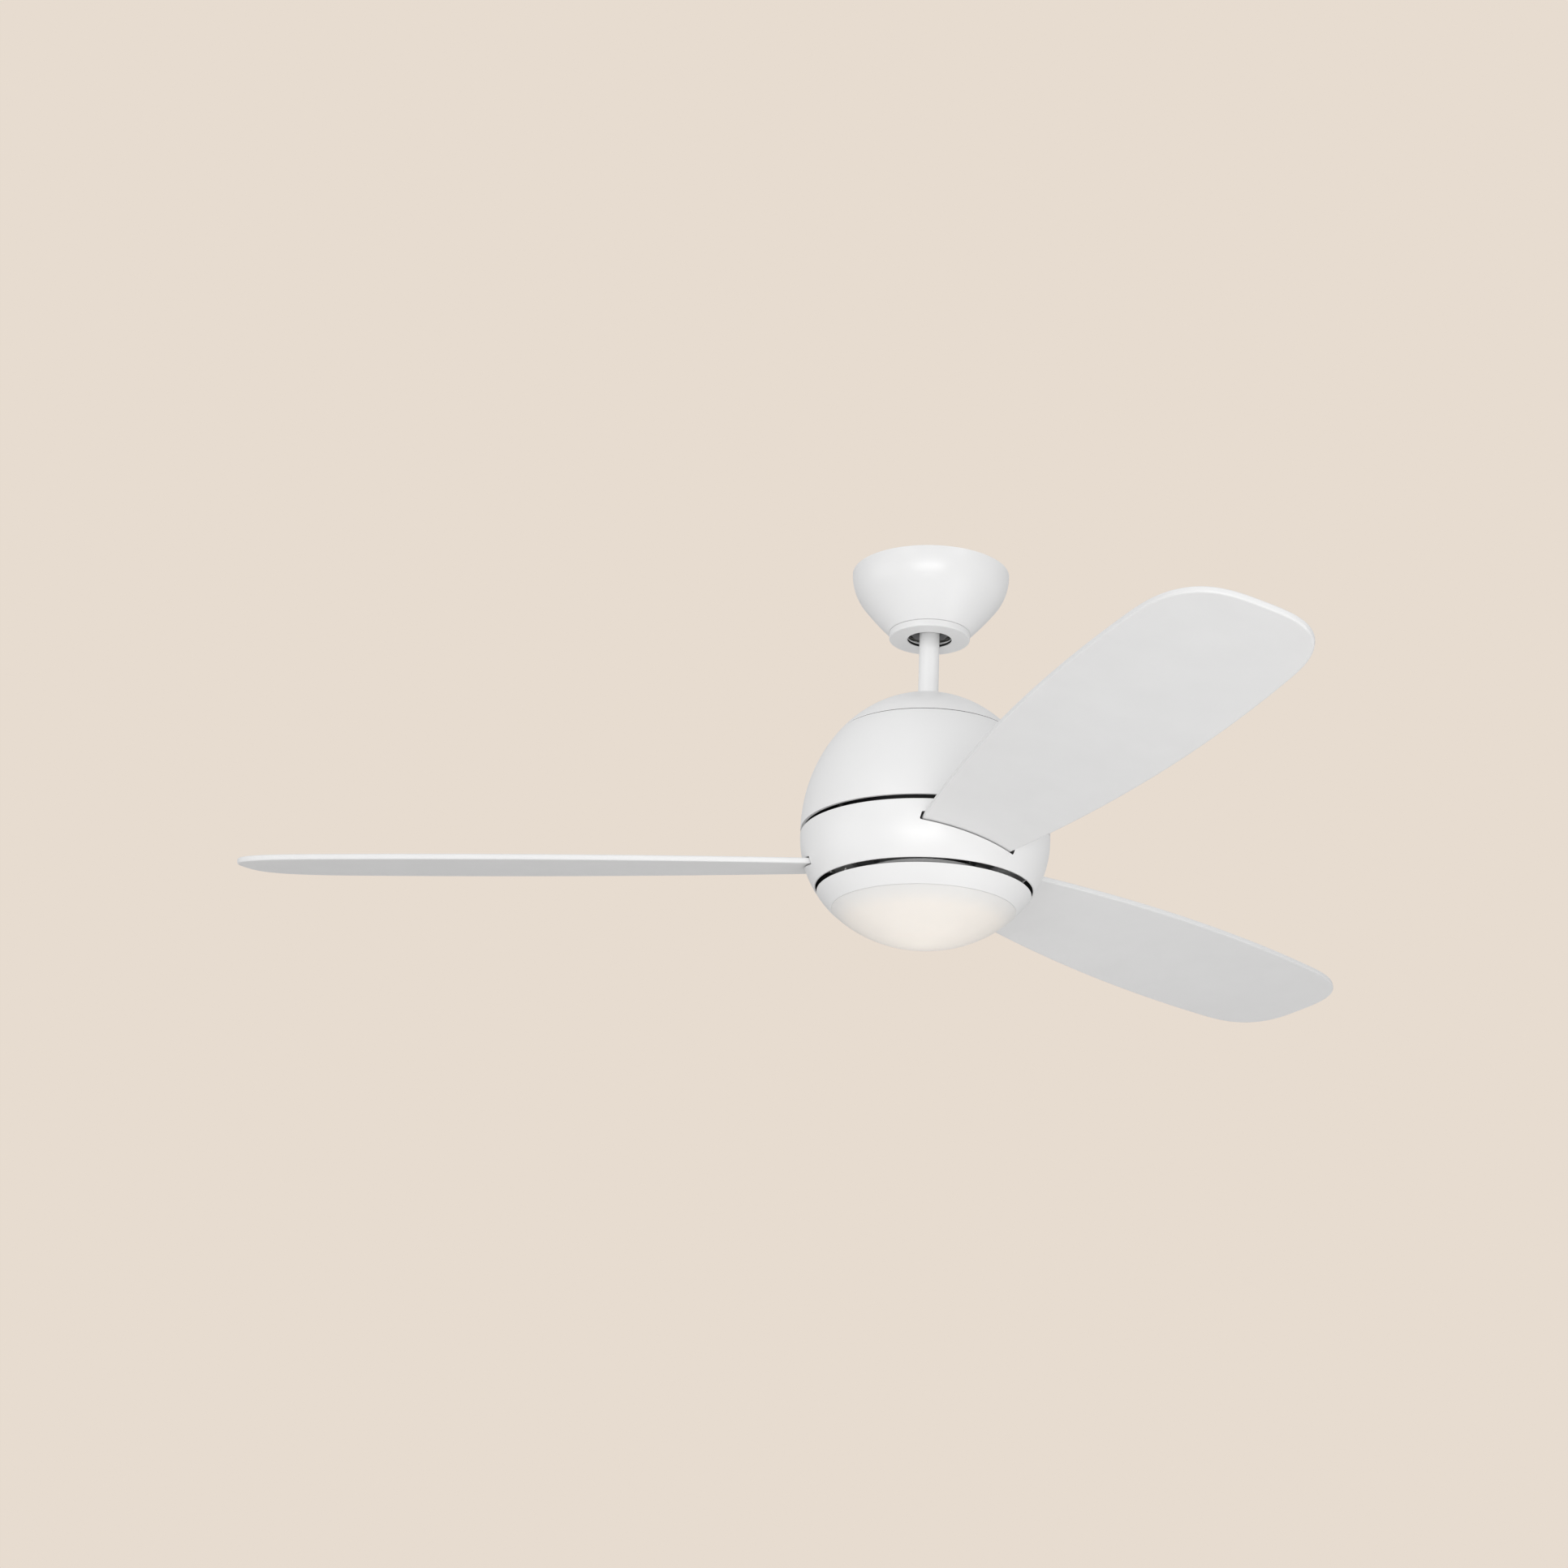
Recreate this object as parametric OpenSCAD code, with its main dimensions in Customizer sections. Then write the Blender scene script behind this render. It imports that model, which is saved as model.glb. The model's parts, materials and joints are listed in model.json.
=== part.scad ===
// Ceiling fan with three blades and a light under the motor.
// Origin: centre of the mounting plane on the ceiling, on the fan's axis. +Z is up, so the fan hangs in -Z.

/* [Ceiling end] */
// Outer radius of the canopy at the ceiling
canopy_r = 74.5; // [74:0.1:76]
// Height of the canopy down to the seam above its ring
canopy_h = 59.5; // [59.3:0.1:59.7]
// Wall thickness of the canopy
canopy_wall = 1.5; // [1.2:0.1:1.8]
// Outer radius of the ring under the canopy
ring_r = 38.2; // [38.1:0.1:38.5]
// Radius of the hole in the ring that the rod comes out of
ring_hole_r = 20.9; // [20:0.1:22]
// Distance between the two ceiling-box screws
box_screw_pitch = 88.9; // [88.9:0.1:89.5]
// Radius of the hanger ball
ball_r = 26; // [25.8:0.1:26.2]

/* [Downrod] */
// Outer radius of the downrod, a three-quarter-inch tube
rod_r = 9.525; // [9.4:0.025:9.55]
// Wall thickness of the downrod
rod_wall = 2; // [1.8:0.1:2.2]

/* [Motor housing] */
// Largest radius of the round body
body_r = 115.8; // [115:0.1:118]
// Height of the body's upper half above its widest level
upper_h = 134.5; // [133:0.5:136]
// Depth of the body's lower half below its widest level
lower_h = 102.5; // [102:0.1:103]
// Level of the seam between the cap and the upper housing
seam_z = -165.6; // [-166:0.1:-165]
// Wall thickness of the cap, the upper housing, the band and the light pan
shell = 1.6; // [1.4:0.1:1.8]
// Level of the upper housing's lower lip
upper_lip_z = -259.4; // [-260:0.1:-259]
// Level of the band's top edge
band_top_z = -263.4; // [-263.6:0.1:-263.2]
// Level of the band's bottom edge
band_bottom_z = -314; // [-314.5:0.1:-313.5]

/* [Blades] */
// Number of blades
blades = 3; // [3:1:3]
// Sweep radius: half of the 52 in span
sweep_r = 660.4; // [600:0.2:700]
// Level of the blades' undersides where they would meet the axis
blade_z = -293.1; // [-294:0.1:-292]
// Thickness of a blade
blade_t = 5.3; // [5:0.1:6]
// Largest half width of a blade
blade_half_w = 73.8; // [70:0.2:76]
// Pitch of the blades: the trailing edge is lower
blade_pitch = -11.25; // [-12:0.25:-10]
// Rise of the blades towards their tips
blade_rise = 1.26; // [1:0.02:1.4]
// Azimuth of the first blade at rest
blade_azimuth = 171.8; // [170:0.1:174]

/* [Light] */
// Level of the light pan's upper edge
pan_top_z = -317.9; // [-318:0.1:-317.8]
// Level of the joint between the light pan and the lens
lens_joint_z = -334; // [-334.2:0.1:-333.8]
// Wall thickness of the lens
lens_wall = 2.2; // [2:0.1:2.4]
// LEDs on the outer ring of the board
led_count = 24; // [12:1:30]

/* [Hidden] */
$fn = 96;
eps = 0.5; // overshoot of a cutting tool

// colours
white = [0.94, 0.94, 0.93];
blade_white = [0.9, 0.9, 0.9];
steel = [0.7, 0.71, 0.72];
dark_steel = [0.35, 0.36, 0.38];
aluminium = [0.78, 0.78, 0.8];
copper = [0.75, 0.42, 0.22];
nylon = [0.15, 0.15, 0.16];
brass = [0.8, 0.65, 0.3];
opal = [0.97, 0.95, 0.9];

// hanger
plate_t = 2.5;
plate_x = 58;
plate_y = 20;
box_slot_r = 2.6;
box_slot_len = 12;
wire_hole_r = 7.5;
wire_hole_x = 21.5;
earth_screw_y = -12;
ball_z = -41;
seat_gap = 0.3;
seat_wall = 2.4;
cup_r = ball_r + seat_wall + 2 * seat_gap;
cup_out_r = cup_r + 4;
cup_top_z = ball_z + 8;
cup_bottom_z = ball_z - 13;
cup_flange_z = -canopy_h + 1.8;
cup_flange_r = 34.5;
canopy_hole_r = 27.5;
canopy_screw_y = 31;
screw_hole_r = 2.1; // clearance hole of a screw with a 4 mm shank
canopy_screw_r = 2;
key_r = 1.8;
key_slot = 2.3;
ball_slot = 3.1;
key_tip_y = 22;
receiver_x = 37;
receiver_y = 46;
receiver_low_z = -24;
receiver_high_z = -3;
nut_x = 20;
nut_y = -37;
nut_low_z = -26;
nut_h = 18;

// canopy and ring
rim_h = 0.4;
shoulder_r = 49.2;
shoulder_turn = 37.5;
flank_r = 307;
ring_top_z = -canopy_h - 0.15;
ring_bottom_z = -canopy_h - 6.6;
ring_wall = 1.5;
ring_plate_t = 1.1;
collar_gap = 2.5;
collar_t = 1.2;
collar_in_r = 21.2;
collar_wall_r = 25.5;
tab_r = cup_flange_r + 0.7;
tab_turn = 15;
tab_width = 10;
tab_slack = 3;

// downrod and coupling
wire_r = 1.1;
rod_top_z = ball_z + 18;
rod_bottom_z = -150;
ball_pin_z = ball_z + 6;
coupling_pin_z = -143;
pin_r = 3;
hole_gap = 0.1;
coupling_r = 16;
coupling_top_z = -136;
coupling_bottom_z = -176;
coupling_flange_z = -168;
coupling_flange_t = 4;
coupling_flange_r = 36;
housing_screw_r = 28;
housing_screw_at = [45, 135, 225, 315];

// body outline
upper_mid_z = -259;
lower_mid_z = -265;
cap_hole_r = 10.6;

// motor
shaft_r = 8.5;
shaft_bore_r = 6.2;
shaft_bottom_z = -326;
bearing_w = 12;
bearing_out_r = 20;
ball_pitch_r = 14.25;
bearing_ball_r = 3.4;
upper_bearing_z = -204;
lower_bearing_z = -252;
stator_z = -228;
stator_h = 28;
stator_r = 66.2;
teeth = 12;
rotor_in_r = 72;
rotor_out_r = 76;
rotor_flange_r = 82;
rotor_split_z = -229;
rotor_top_z = -193;
rotor_bottom_z = -264.2;
cover_t = 5;
rotor_screw_r = 79;

// blades
blade_root_u = 64;
widest_u = 455;
taper_w = 28.2;
taper_u = 350;
tip_start_u = sweep_r - 93.5;
tip_power = 3.1;
slot_gap = 1.2;
slot_end = 2.6;
web_t = 1.8;
arm_x = [46, 98];
arm_half_w = 26;
arm_wall = 3.5;
arm_low_z = -305;
arm_screw_x = [56, 69];
blade_screw_at = [[74, 0], [91, 17], [91, -17]];

// light
plate_z = -315.5;
light_plate_t = 2.5;
light_plate_r = 58;
pan_web_t = 1.6;
pan_web_z = plate_z - light_plate_t;
pan_screw_r = 48;
pan_screw_at = [30, 150, 270];
apron_r = 60; // upright wall that hides the light plate behind the gap above the pan
apron_top_z = -301.9;
tray_z = -331;
tray_r = 78;
board_r = 62;
board_t = 1.6;
post_r = 66;
post_at = [90, 210, 330];
post_hole_r = 1.6;
led_ring_r = [48, 26];
driver_x = 28;
driver_y = [20, 54];
electrics_h = 8.2;
lens_rim_r = 81.7;
lens_lip_r = 82.2;
lens_lug_r = 83.9;
lens_lugs = 3;
lip_t = 2.6;
lens_turn = 20;
lug_width = 12;
lens_rim_top_z = -324;

// --- outlines and shared shapes ---

// Points on an ellipse of half axes a (across) and b (up) about level mid, from angle t0 to t1.
function arc_pts(a, b, mid, t0, t1, n) =
    [for (i = [0:n]) let (t = t0 + (t1 - t0) * i / n) [a * cos(t), mid + b * sin(t)]];
function reversed(v) = [for (i = [len(v) - 1:-1:0]) v[i]];
function level_angle(b, mid, z) = asin((z - mid) / b);

// Section of a domed wall of thickness t between levels z0 and z1.
module dome_section(a, b, mid, z0, z1, t, n = 20) {
    outer = arc_pts(a, b, mid, level_angle(b, mid, z0), level_angle(b, mid, z1), n);
    inner = arc_pts(a - t, b - t, mid, level_angle(b - t, mid, z0), level_angle(b - t, mid, z1), n);
    polygon(concat(outer, reversed(inner)));
}

// Section of a domed wall from level z0 up or down to the radius r_end.
module dome_to_radius(a, b, mid, z0, r_end, t, side, n = 24) {
    outer = arc_pts(a, b, mid, level_angle(b, mid, z0), side * acos(r_end / a), n);
    inner = arc_pts(a - t, b - t, mid, level_angle(b - t, mid, z0), side * acos(r_end / (a - t)), n);
    polygon(concat(outer, reversed(inner)));
}

// Ring between two radii and two levels.
module ring(r_in, r_out, z_low, z_high) {
    rotate_extrude()
        translate([r_in, z_low])
            square([r_out - r_in, z_high - z_low]);
}

// Part of a ring, centred on azimuth az and width degrees wide.
module ring_part(r_in, r_out, z_low, z_high, az, width) {
    rotate([0, 0, az - width / 2])
        rotate_extrude(angle = width)
            translate([r_in, z_low])
                square([r_out - r_in, z_high - z_low]);
}

module disc(r, z_low, z_high) {
    translate([0, 0, z_low])
        cylinder(r = r, h = z_high - z_low);
}

// Upright rod at x, y.
module post(x, y, r, z_low, z_high, sides = 48) {
    translate([x, y, z_low])
        cylinder(r = r, h = z_high - z_low, $fn = sides);
}

// Rod along X or Y at level z, from one end to the other.
module rod_x(r, x0, x1, y, z) {
    translate([x0, y, z])
        rotate([0, 90, 0])
            cylinder(r = r, h = x1 - x0, $fn = 48);
}

module rod_y(r, y0, y1, x, z) {
    translate([x, y1, z])
        rotate([90, 0, 0])
            cylinder(r = r, h = y1 - y0, $fn = 48);
}

// Box between two corners.
module box(low, high) {
    translate(low)
        cube(high - low);
}

// Pan-head screw whose head sits against level z. dir is 1 when the shank goes up.
module screw(x, y, z, shank_r, shank_len, head_r, head_h, dir = 1) {
    head_z = dir > 0 ? z - head_h : z;
    post(x, y, shank_r, min(z, z + dir * shank_len), max(z, z + dir * shank_len));
    difference() {
        post(x, y, head_r, head_z, head_z + head_h);
        translate([x, y, dir > 0 ? z - head_h : z + head_h]) {
            cube([head_r * 1.2, 0.7, 1.4], center = true);
            cube([0.7, head_r * 1.2, 1.4], center = true);
        }
    }
}

// Places children in the frame of blade i: X runs along the blade, Z is its upper normal.
module at_blade(i) {
    translate([0, 0, blade_z])
        rotate([0, 0, blade_azimuth + i * 360 / blades])
            rotate([0, -blade_rise, 0])
                rotate([blade_pitch, 0, 0])
                    children();
}

// --- ceiling end ---

// Pressed steel bracket: ceiling plate, two legs and the cup that holds the ball.
module hanger_bracket() {
    color(steel)
        difference() {
            union() {
                box([-plate_x, -plate_y, -plate_t], [plate_x, plate_y, 0]);
                for (side = [-1, 1])
                    translate([side * (cup_out_r - 0.9), 0, 0])
                        box([-1.3, -14, cup_top_z - 6], [1.3, 14, 0]);
                disc(cup_out_r, cup_bottom_z, cup_top_z);
                disc(cup_flange_r, cup_flange_z, cup_bottom_z + eps);
            }
            translate([0, 0, ball_z])
                sphere(r = cup_r);
            disc(cup_r, ball_z, cup_top_z + eps);
            disc(canopy_hole_r - 1.5, cup_flange_z - eps, ball_z);
            for (side = [-1, 1]) {
                box_slot(side * box_screw_pitch / 2);
                post(side * wire_hole_x, 0, wire_hole_r, -plate_t - eps, eps);
                post(0, side * canopy_screw_y, screw_hole_r, cup_flange_z - eps, cup_bottom_z + 4);
            }
            post(0, earth_screw_y, 2.3, -plate_t - eps, eps);
        }
    color(steel)
        rod_y(key_r, key_tip_y, cup_r + 1, 0, ball_z);
}

// Slot for a ceiling-box screw, centred at x.
module box_slot(x) {
    half = box_slot_len / 2 - box_slot_r;
    for (end = [-1, 1])
        post(x + end * half, 0, box_slot_r, -plate_t - eps, eps);
    box([x - half, -box_slot_r, -plate_t - eps], [x + half, box_slot_r, eps]);
}

// One side of the canopy's section, set in by t and ending at z_end: a low upright rim, a round shoulder
// and a slightly bulging flank that meets the ring.
flank_x = canopy_r - shoulder_r - (flank_r - shoulder_r) * cos(shoulder_turn);
flank_z = -rim_h + (flank_r - shoulder_r) * sin(shoulder_turn);
function flank_angle(t, z) = asin((flank_z - z) / (flank_r - t));
function canopy_line(t, z_end) = let (last = flank_angle(t, z_end)) concat([[canopy_r - t, 0]],
    [for (i = [0:14]) let (a = shoulder_turn * i / 14)
        [canopy_r - shoulder_r + (shoulder_r - t) * cos(a), -rim_h - (shoulder_r - t) * sin(a)]],
    [for (i = [1:4]) let (a = shoulder_turn + (last - shoulder_turn) * i / 4)
        [flank_x + (flank_r - t) * cos(a), flank_z - (flank_r - t) * sin(a)]]);

// Bowl-shaped cover against the ceiling, with the flange that its screws go through.
module canopy() {
    color(white)
        difference() {
            rotate_extrude()
                polygon(concat(canopy_line(0, -canopy_h), [[canopy_hole_r, -canopy_h]],
                    [[canopy_hole_r, cup_flange_z]], reversed(canopy_line(canopy_wall, cup_flange_z))));
            for (side = [-1, 1])
                post(0, side * canopy_screw_y, screw_hole_r, -canopy_h - eps, cup_flange_z + eps);
            for (i = [0:2]) {
                ring_part(tab_r - 0.4, tab_r + 1.4, -canopy_h - eps, cup_flange_z + eps,
                    i * 120 + tab_turn / 2, tab_turn + tab_width + tab_slack);
                ring_part(tab_r + 0.6, tab_r + 2.4, -canopy_h - eps, cup_flange_z + eps,
                    i * 120 + tab_turn - 1, tab_width + tab_slack);
            }
        }
}

module canopy_screws() {
    color(steel)
        for (side = [-1, 1])
            screw(0, side * canopy_screw_y, -canopy_h, canopy_screw_r, 8, 3.5, 2.2);
}

module ground_screw() {
    color([0.2, 0.5, 0.25])
        screw(0, earth_screw_y, -plate_t, 2.2, 2.4, 4.2, 3);
}

// Remote-control receiver box beside the bracket.
module receiver() {
    color([0.9, 0.9, 0.88]) {
        difference() {
            box([-receiver_x, plate_y + 0.2, receiver_low_z], [receiver_x, receiver_y, receiver_high_z]);
            for (x = [-24:6:24])
                box([x, 24, receiver_low_z - eps], [x + 2, receiver_y - 4, receiver_low_z + 0.8]);
        }
        for (x = [-30, -26, -22])
            rod_x(wire_r, x - 12, x, 30 - x / 6, -13);
    }
}

// Twist-on connectors with the ends of the wires that they join.
module wire_nuts() {
    color([0.85, 0.45, 0.12])
        for (x = [-nut_x, 0, nut_x]) {
            translate([x, nut_y, nut_low_z])
                cylinder(r1 = 3.4, r2 = 5, h = nut_h, $fn = 48);
            for (side = [-1, 1])
                post(x + side * 2, nut_y, wire_r, nut_low_z + nut_h, -3, 24);
        }
}

// Ring that twists onto the canopy and hides its screws. A narrow collar stands over its hole.
module canopy_ring() {
    plate_top = ring_bottom_z + ring_plate_t;
    collar_z = plate_top + collar_gap;
    color(white) {
        rotate_extrude()
            polygon([[ring_hole_r, ring_bottom_z + 0.5], [ring_hole_r, plate_top],
                [collar_wall_r, plate_top], [collar_wall_r, collar_z],
                [collar_in_r, collar_z], [collar_in_r, collar_z + collar_t],
                [collar_wall_r + 1.2, collar_z + collar_t], [collar_wall_r + 1.2, plate_top],
                [ring_r - ring_wall, plate_top], [ring_r - ring_wall, ring_top_z],
                [ring_r, ring_top_z], [ring_r, ring_bottom_z + 1],
                [ring_r - 0.3, ring_bottom_z + 0.3], [ring_r - 0.9, ring_bottom_z],
                [ring_hole_r + 0.5, ring_bottom_z]]);
        for (i = [0:2]) {
            ring_part(tab_r, tab_r + 1, plate_top - 0.4, cup_flange_z + 1.4, i * 120, tab_width);
            ring_part(tab_r, tab_r + 2, cup_flange_z + 0.3, cup_flange_z + 1.4, i * 120, tab_width);
        }
    }
}

// --- hanging end ---

// Liner between the ball and the cup.
module ball_seat() {
    color(nylon)
        difference() {
            translate([0, 0, ball_z])
                sphere(r = ball_r + seat_wall + seat_gap);
            translate([0, 0, ball_z])
                sphere(r = ball_r + seat_gap);
            box([-40, -40, ball_z - 40], [40, 40, ball_z - 11]);
            box([-40, -40, ball_z + 6], [40, 40, ball_z + 40]);
            box([-key_slot, 0, ball_z - 8], [key_slot, 40, ball_z + 8]);
        }
}

module hanger_ball() {
    color(dark_steel)
        difference() {
            translate([0, 0, ball_z])
                sphere(r = ball_r);
            box([-40, -40, ball_z + 17], [40, 40, ball_z + 40]);
            box([-40, -40, ball_z - 40], [40, 40, ball_z - 20]);
            post(0, 0, rod_r + hole_gap, ball_z - 40, ball_z + 40, 96);
            rod_x(pin_r + hole_gap, -30, 30, 0, ball_pin_z);
            rod_y(2.6, -30, 0, 0, ball_z - 4);
            box([-ball_slot, key_tip_y - 2, ball_z - 15], [ball_slot, 40, ball_z + 15]);
        }
}

module ball_pin() {
    color(steel)
        rod_x(pin_r, -21, 21, 0, ball_pin_z);
}

module ball_set_screw() {
    color(dark_steel)
        difference() {
            rod_y(2.5, -22, -rod_r, 0, ball_z - 4);
            rod_y(1.2, -23, -19, 0, ball_z - 4);
        }
}

module downrod() {
    color(white)
        difference() {
            disc(rod_r, rod_bottom_z, rod_top_z);
            disc(rod_r - rod_wall, rod_bottom_z - eps, rod_top_z + eps);
            rod_x(pin_r + hole_gap, -20, 20, 0, ball_pin_z);
            rod_x(pin_r + hole_gap, -20, 20, 0, coupling_pin_z);
        }
}

// Collar that joins the rod to the motor shaft, with the flange that carries the upper housing.
module rod_coupling() {
    color(dark_steel)
        difference() {
            union() {
                disc(coupling_r, coupling_bottom_z, coupling_top_z);
                disc(coupling_flange_r, coupling_flange_z - coupling_flange_t, coupling_flange_z);
            }
            disc(rod_r + hole_gap, rod_bottom_z, coupling_top_z + eps);
            disc(shaft_r + 0.05, coupling_bottom_z - eps, rod_bottom_z + eps);
            rod_x(pin_r + hole_gap, -20, 20, 0, coupling_pin_z);
            rod_y(2.6, -20, 20, 0, coupling_pin_z);
            for (a = housing_screw_at)
                post(housing_screw_r * cos(a), housing_screw_r * sin(a), screw_hole_r,
                    coupling_flange_z - 12, coupling_flange_z + 8);
        }
}

module coupling_pin() {
    color(steel)
        difference() {
            union() {
                rod_x(pin_r, -23, coupling_r, 0, coupling_pin_z);
                rod_x(4.6, coupling_r, coupling_r + 2.5, 0, coupling_pin_z);
            }
            post(-19.5, 0, 1.1, coupling_pin_z - 5, coupling_pin_z + 5);
        }
}

// Spring clip through the end of the coupling pin: a straight leg, a loop and a bent leg.
module pin_clip() {
    clip_r = 0.9;
    color(brass)
        translate([-19.5, 0, coupling_pin_z]) {
            translate([0, 0, -10])
                cylinder(r = clip_r, h = 18, $fn = 24);
            translate([-4.5, 0, 8])
                rotate([90, 0, 0])
                    rotate_extrude(angle = 180)
                        translate([4.5, 0])
                            circle(r = clip_r, $fn = 24);
            translate([-9, 0, -8])
                cylinder(r = clip_r, h = 16, $fn = 24);
        }
}

module coupling_set_screws() {
    color(dark_steel)
        for (side = [-1, 1])
            rotate([0, 0, side * 90])
                difference() {
                    rod_x(2.5, rod_r, 19, 0, coupling_pin_z);
                    rod_x(1.3, 17, 20, 0, coupling_pin_z);
                }
}

module motor_cap() {
    color(white)
        rotate_extrude() {
            dome_to_radius(body_r, upper_h, upper_mid_z, seam_z + 0.4, cap_hole_r, shell, 1);
            translate([body_r * cos(level_angle(upper_h, upper_mid_z, seam_z)) - 3.4, seam_z + 0.4])
                square([1.4, 1.2]);
        }
}

module upper_housing() {
    seam_r = body_r * cos(level_angle(upper_h, upper_mid_z, seam_z));
    color(white)
        difference() {
            rotate_extrude() {
                dome_section(body_r, upper_h, upper_mid_z, upper_lip_z, seam_z - 0.4, shell);
                translate([coupling_r + 0.3, coupling_flange_z])
                    square([seam_r - coupling_r - 0.8, shell]);
                translate([body_r - 3.2, upper_lip_z])
                    square([3, shell]);
            }
            for (a = housing_screw_at)
                post(housing_screw_r * cos(a), housing_screw_r * sin(a), screw_hole_r,
                    coupling_flange_z - 12, coupling_flange_z + 8);
        }
}

module housing_screws() {
    color(steel)
        for (a = housing_screw_at)
            screw(housing_screw_r * cos(a), housing_screw_r * sin(a), coupling_flange_z + shell,
                2, 6, 3.8, 2.4, -1);
}

// Hollow fixed shaft with its shoulders for the stator, the bearings and the light plate.
module motor_shaft() {
    stator_low = stator_z - stator_h / 2;
    stator_high = stator_z + stator_h / 2;
    color(steel)
        difference() {
            union() {
                disc(shaft_r, shaft_bottom_z, rod_bottom_z - 0.3);
                disc(shaft_r + 2, lower_bearing_z + bearing_w / 2, stator_low);
                disc(shaft_r + 2, stator_high, upper_bearing_z - bearing_w / 2);
                disc(shaft_r + 2, lower_bearing_z - bearing_w / 2 - 3, lower_bearing_z - bearing_w / 2);
                disc(shaft_r + 4, plate_z, plate_z + 4);
            }
            disc(shaft_bore_r, shaft_bottom_z - eps, rod_bottom_z);
        }
}

// Laminated stator: hub, teeth and pole shoes.
module stator_core() {
    shoe = 360 / teeth - 3;
    color(dark_steel)
        translate([0, 0, stator_z - stator_h / 2])
            linear_extrude(stator_h)
                difference() {
                    union() {
                        circle(r = 25);
                        for (i = [0:teeth - 1])
                            rotate([0, 0, i * 360 / teeth]) {
                                translate([20, -3.5])
                                    square([44, 7]);
                                intersection() {
                                    difference() {
                                        circle(r = stator_r);
                                        circle(r = stator_r - 4.4);
                                    }
                                    polygon([[0, 0], [90 * cos(shoe / 2), -90 * sin(shoe / 2)],
                                        [90 * cos(shoe / 2), 90 * sin(shoe / 2)]]);
                                }
                            }
                    }
                    circle(r = shaft_r + 0.05);
                }
}

// One coil around each stator tooth.
module stator_windings() {
    color(copper)
        for (i = [0:teeth - 1])
            rotate([0, 0, i * 360 / teeth])
                translate([0, 0, stator_z])
                    difference() {
                        translate([30, -6.9, -stator_h / 2 - 4.5])
                            cube([28, 13.8, stator_h + 9]);
                        translate([29, -3.7, -stator_h / 2 - 0.2])
                            cube([30, 7.4, stator_h + 0.4]);
                    }
}

// Section of one bearing race, with the groove that the balls run in.
module race(r_in, r_out, z) {
    rotate_extrude()
        difference() {
            translate([r_in, z - bearing_w / 2])
                square([r_out - r_in, bearing_w]);
            translate([ball_pitch_r, z])
                circle(r = bearing_ball_r + 0.15);
        }
}

module bearing_inner_races() {
    color(steel)
        for (z = [upper_bearing_z, lower_bearing_z])
            race(shaft_r + 0.05, ball_pitch_r - 2, z);
}

module bearing_outer_races() {
    color(steel)
        for (z = [upper_bearing_z, lower_bearing_z])
            race(ball_pitch_r + 2, bearing_out_r - 0.05, z);
}

module bearing_balls() {
    color(steel)
        for (z = [upper_bearing_z, lower_bearing_z], i = [0:8])
            rotate([0, 0, i * 40])
                translate([ball_pitch_r, 0, z])
                    sphere(r = bearing_ball_r, $fn = 32);
}

// Four wires that run down through the rod and the shaft, then turn to the driver and the plug.
module lead_bundle() {
    bottom = shaft_bottom_z - wire_r - 0.4;
    color([0.9, 0.9, 0.88])
        for (sx = [-1, 1], sy = [-1, 1]) {
            post(sx * 1.3, sy * 4.4, wire_r, bottom, -14, 24);
            translate([sx * 1.3, sy * 4.4, bottom])
                sphere(r = wire_r, $fn = 24);
            rod_y(wire_r, min(sy * 4.4, sy * 19.8), max(sy * 4.4, sy * 19.8), sx * 1.3, bottom);
        }
}

// --- light ---

module light_plate() {
    color(steel)
        difference() {
            disc(light_plate_r, plate_z - light_plate_t, plate_z);
            disc(shaft_r + hole_gap, plate_z - 10, plate_z + 10);
            for (a = pan_screw_at)
                post(pan_screw_r * cos(a), pan_screw_r * sin(a), screw_hole_r,
                    plate_z - 10, plate_z + 10);
            for (a = post_at)
                post(34 * cos(a), 34 * sin(a), 9, plate_z - 10, plate_z + 10);
        }
}

module plate_nut() {
    color(steel)
        difference() {
            translate([0, 0, pan_web_z - 4.4])
                cylinder(r = 14, h = 4.4, $fn = 6);
            disc(shaft_r + hole_gap, pan_web_z - 10, pan_web_z + 10);
        }
}

// White lower rim and the flat web that everything in the light hangs from.
module light_pan() {
    inner_r = body_r * cos(level_angle(lower_h, lower_mid_z, lens_joint_z)) - shell;
    color(white)
        difference() {
            rotate_extrude() {
                dome_section(body_r, lower_h, lower_mid_z, lens_joint_z, pan_top_z, shell);
                translate([17, pan_web_z - pan_web_t])
                    square([80.5, pan_web_t]);
                translate([lens_lip_r, lens_joint_z])
                    square([inner_r - lens_lip_r + 0.6, lip_t]);
                translate([apron_r - shell, pan_web_z - eps])
                    square([shell, apron_top_z - pan_web_z + eps]);
            }
            for (a = pan_screw_at)
                post(pan_screw_r * cos(a), pan_screw_r * sin(a), screw_hole_r,
                    pan_web_z - 10, pan_web_z + 10);
            for (a = post_at)
                post(post_r * cos(a), post_r * sin(a), post_hole_r, pan_web_z - 10, pan_web_z + 10);
            for (i = [0:lens_lugs - 1])
                ring_part(lens_lip_r - 1, lens_lug_r + 0.4, lens_joint_z - eps, lens_joint_z + lip_t + eps,
                    i * 360 / lens_lugs + lens_turn, lug_width + 4);
        }
}

module pan_screws() {
    color(steel)
        for (a = pan_screw_at)
            screw(pan_screw_r * cos(a), pan_screw_r * sin(a), pan_web_z - pan_web_t, 2, 4, 3.8, 2.2);
}

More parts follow.
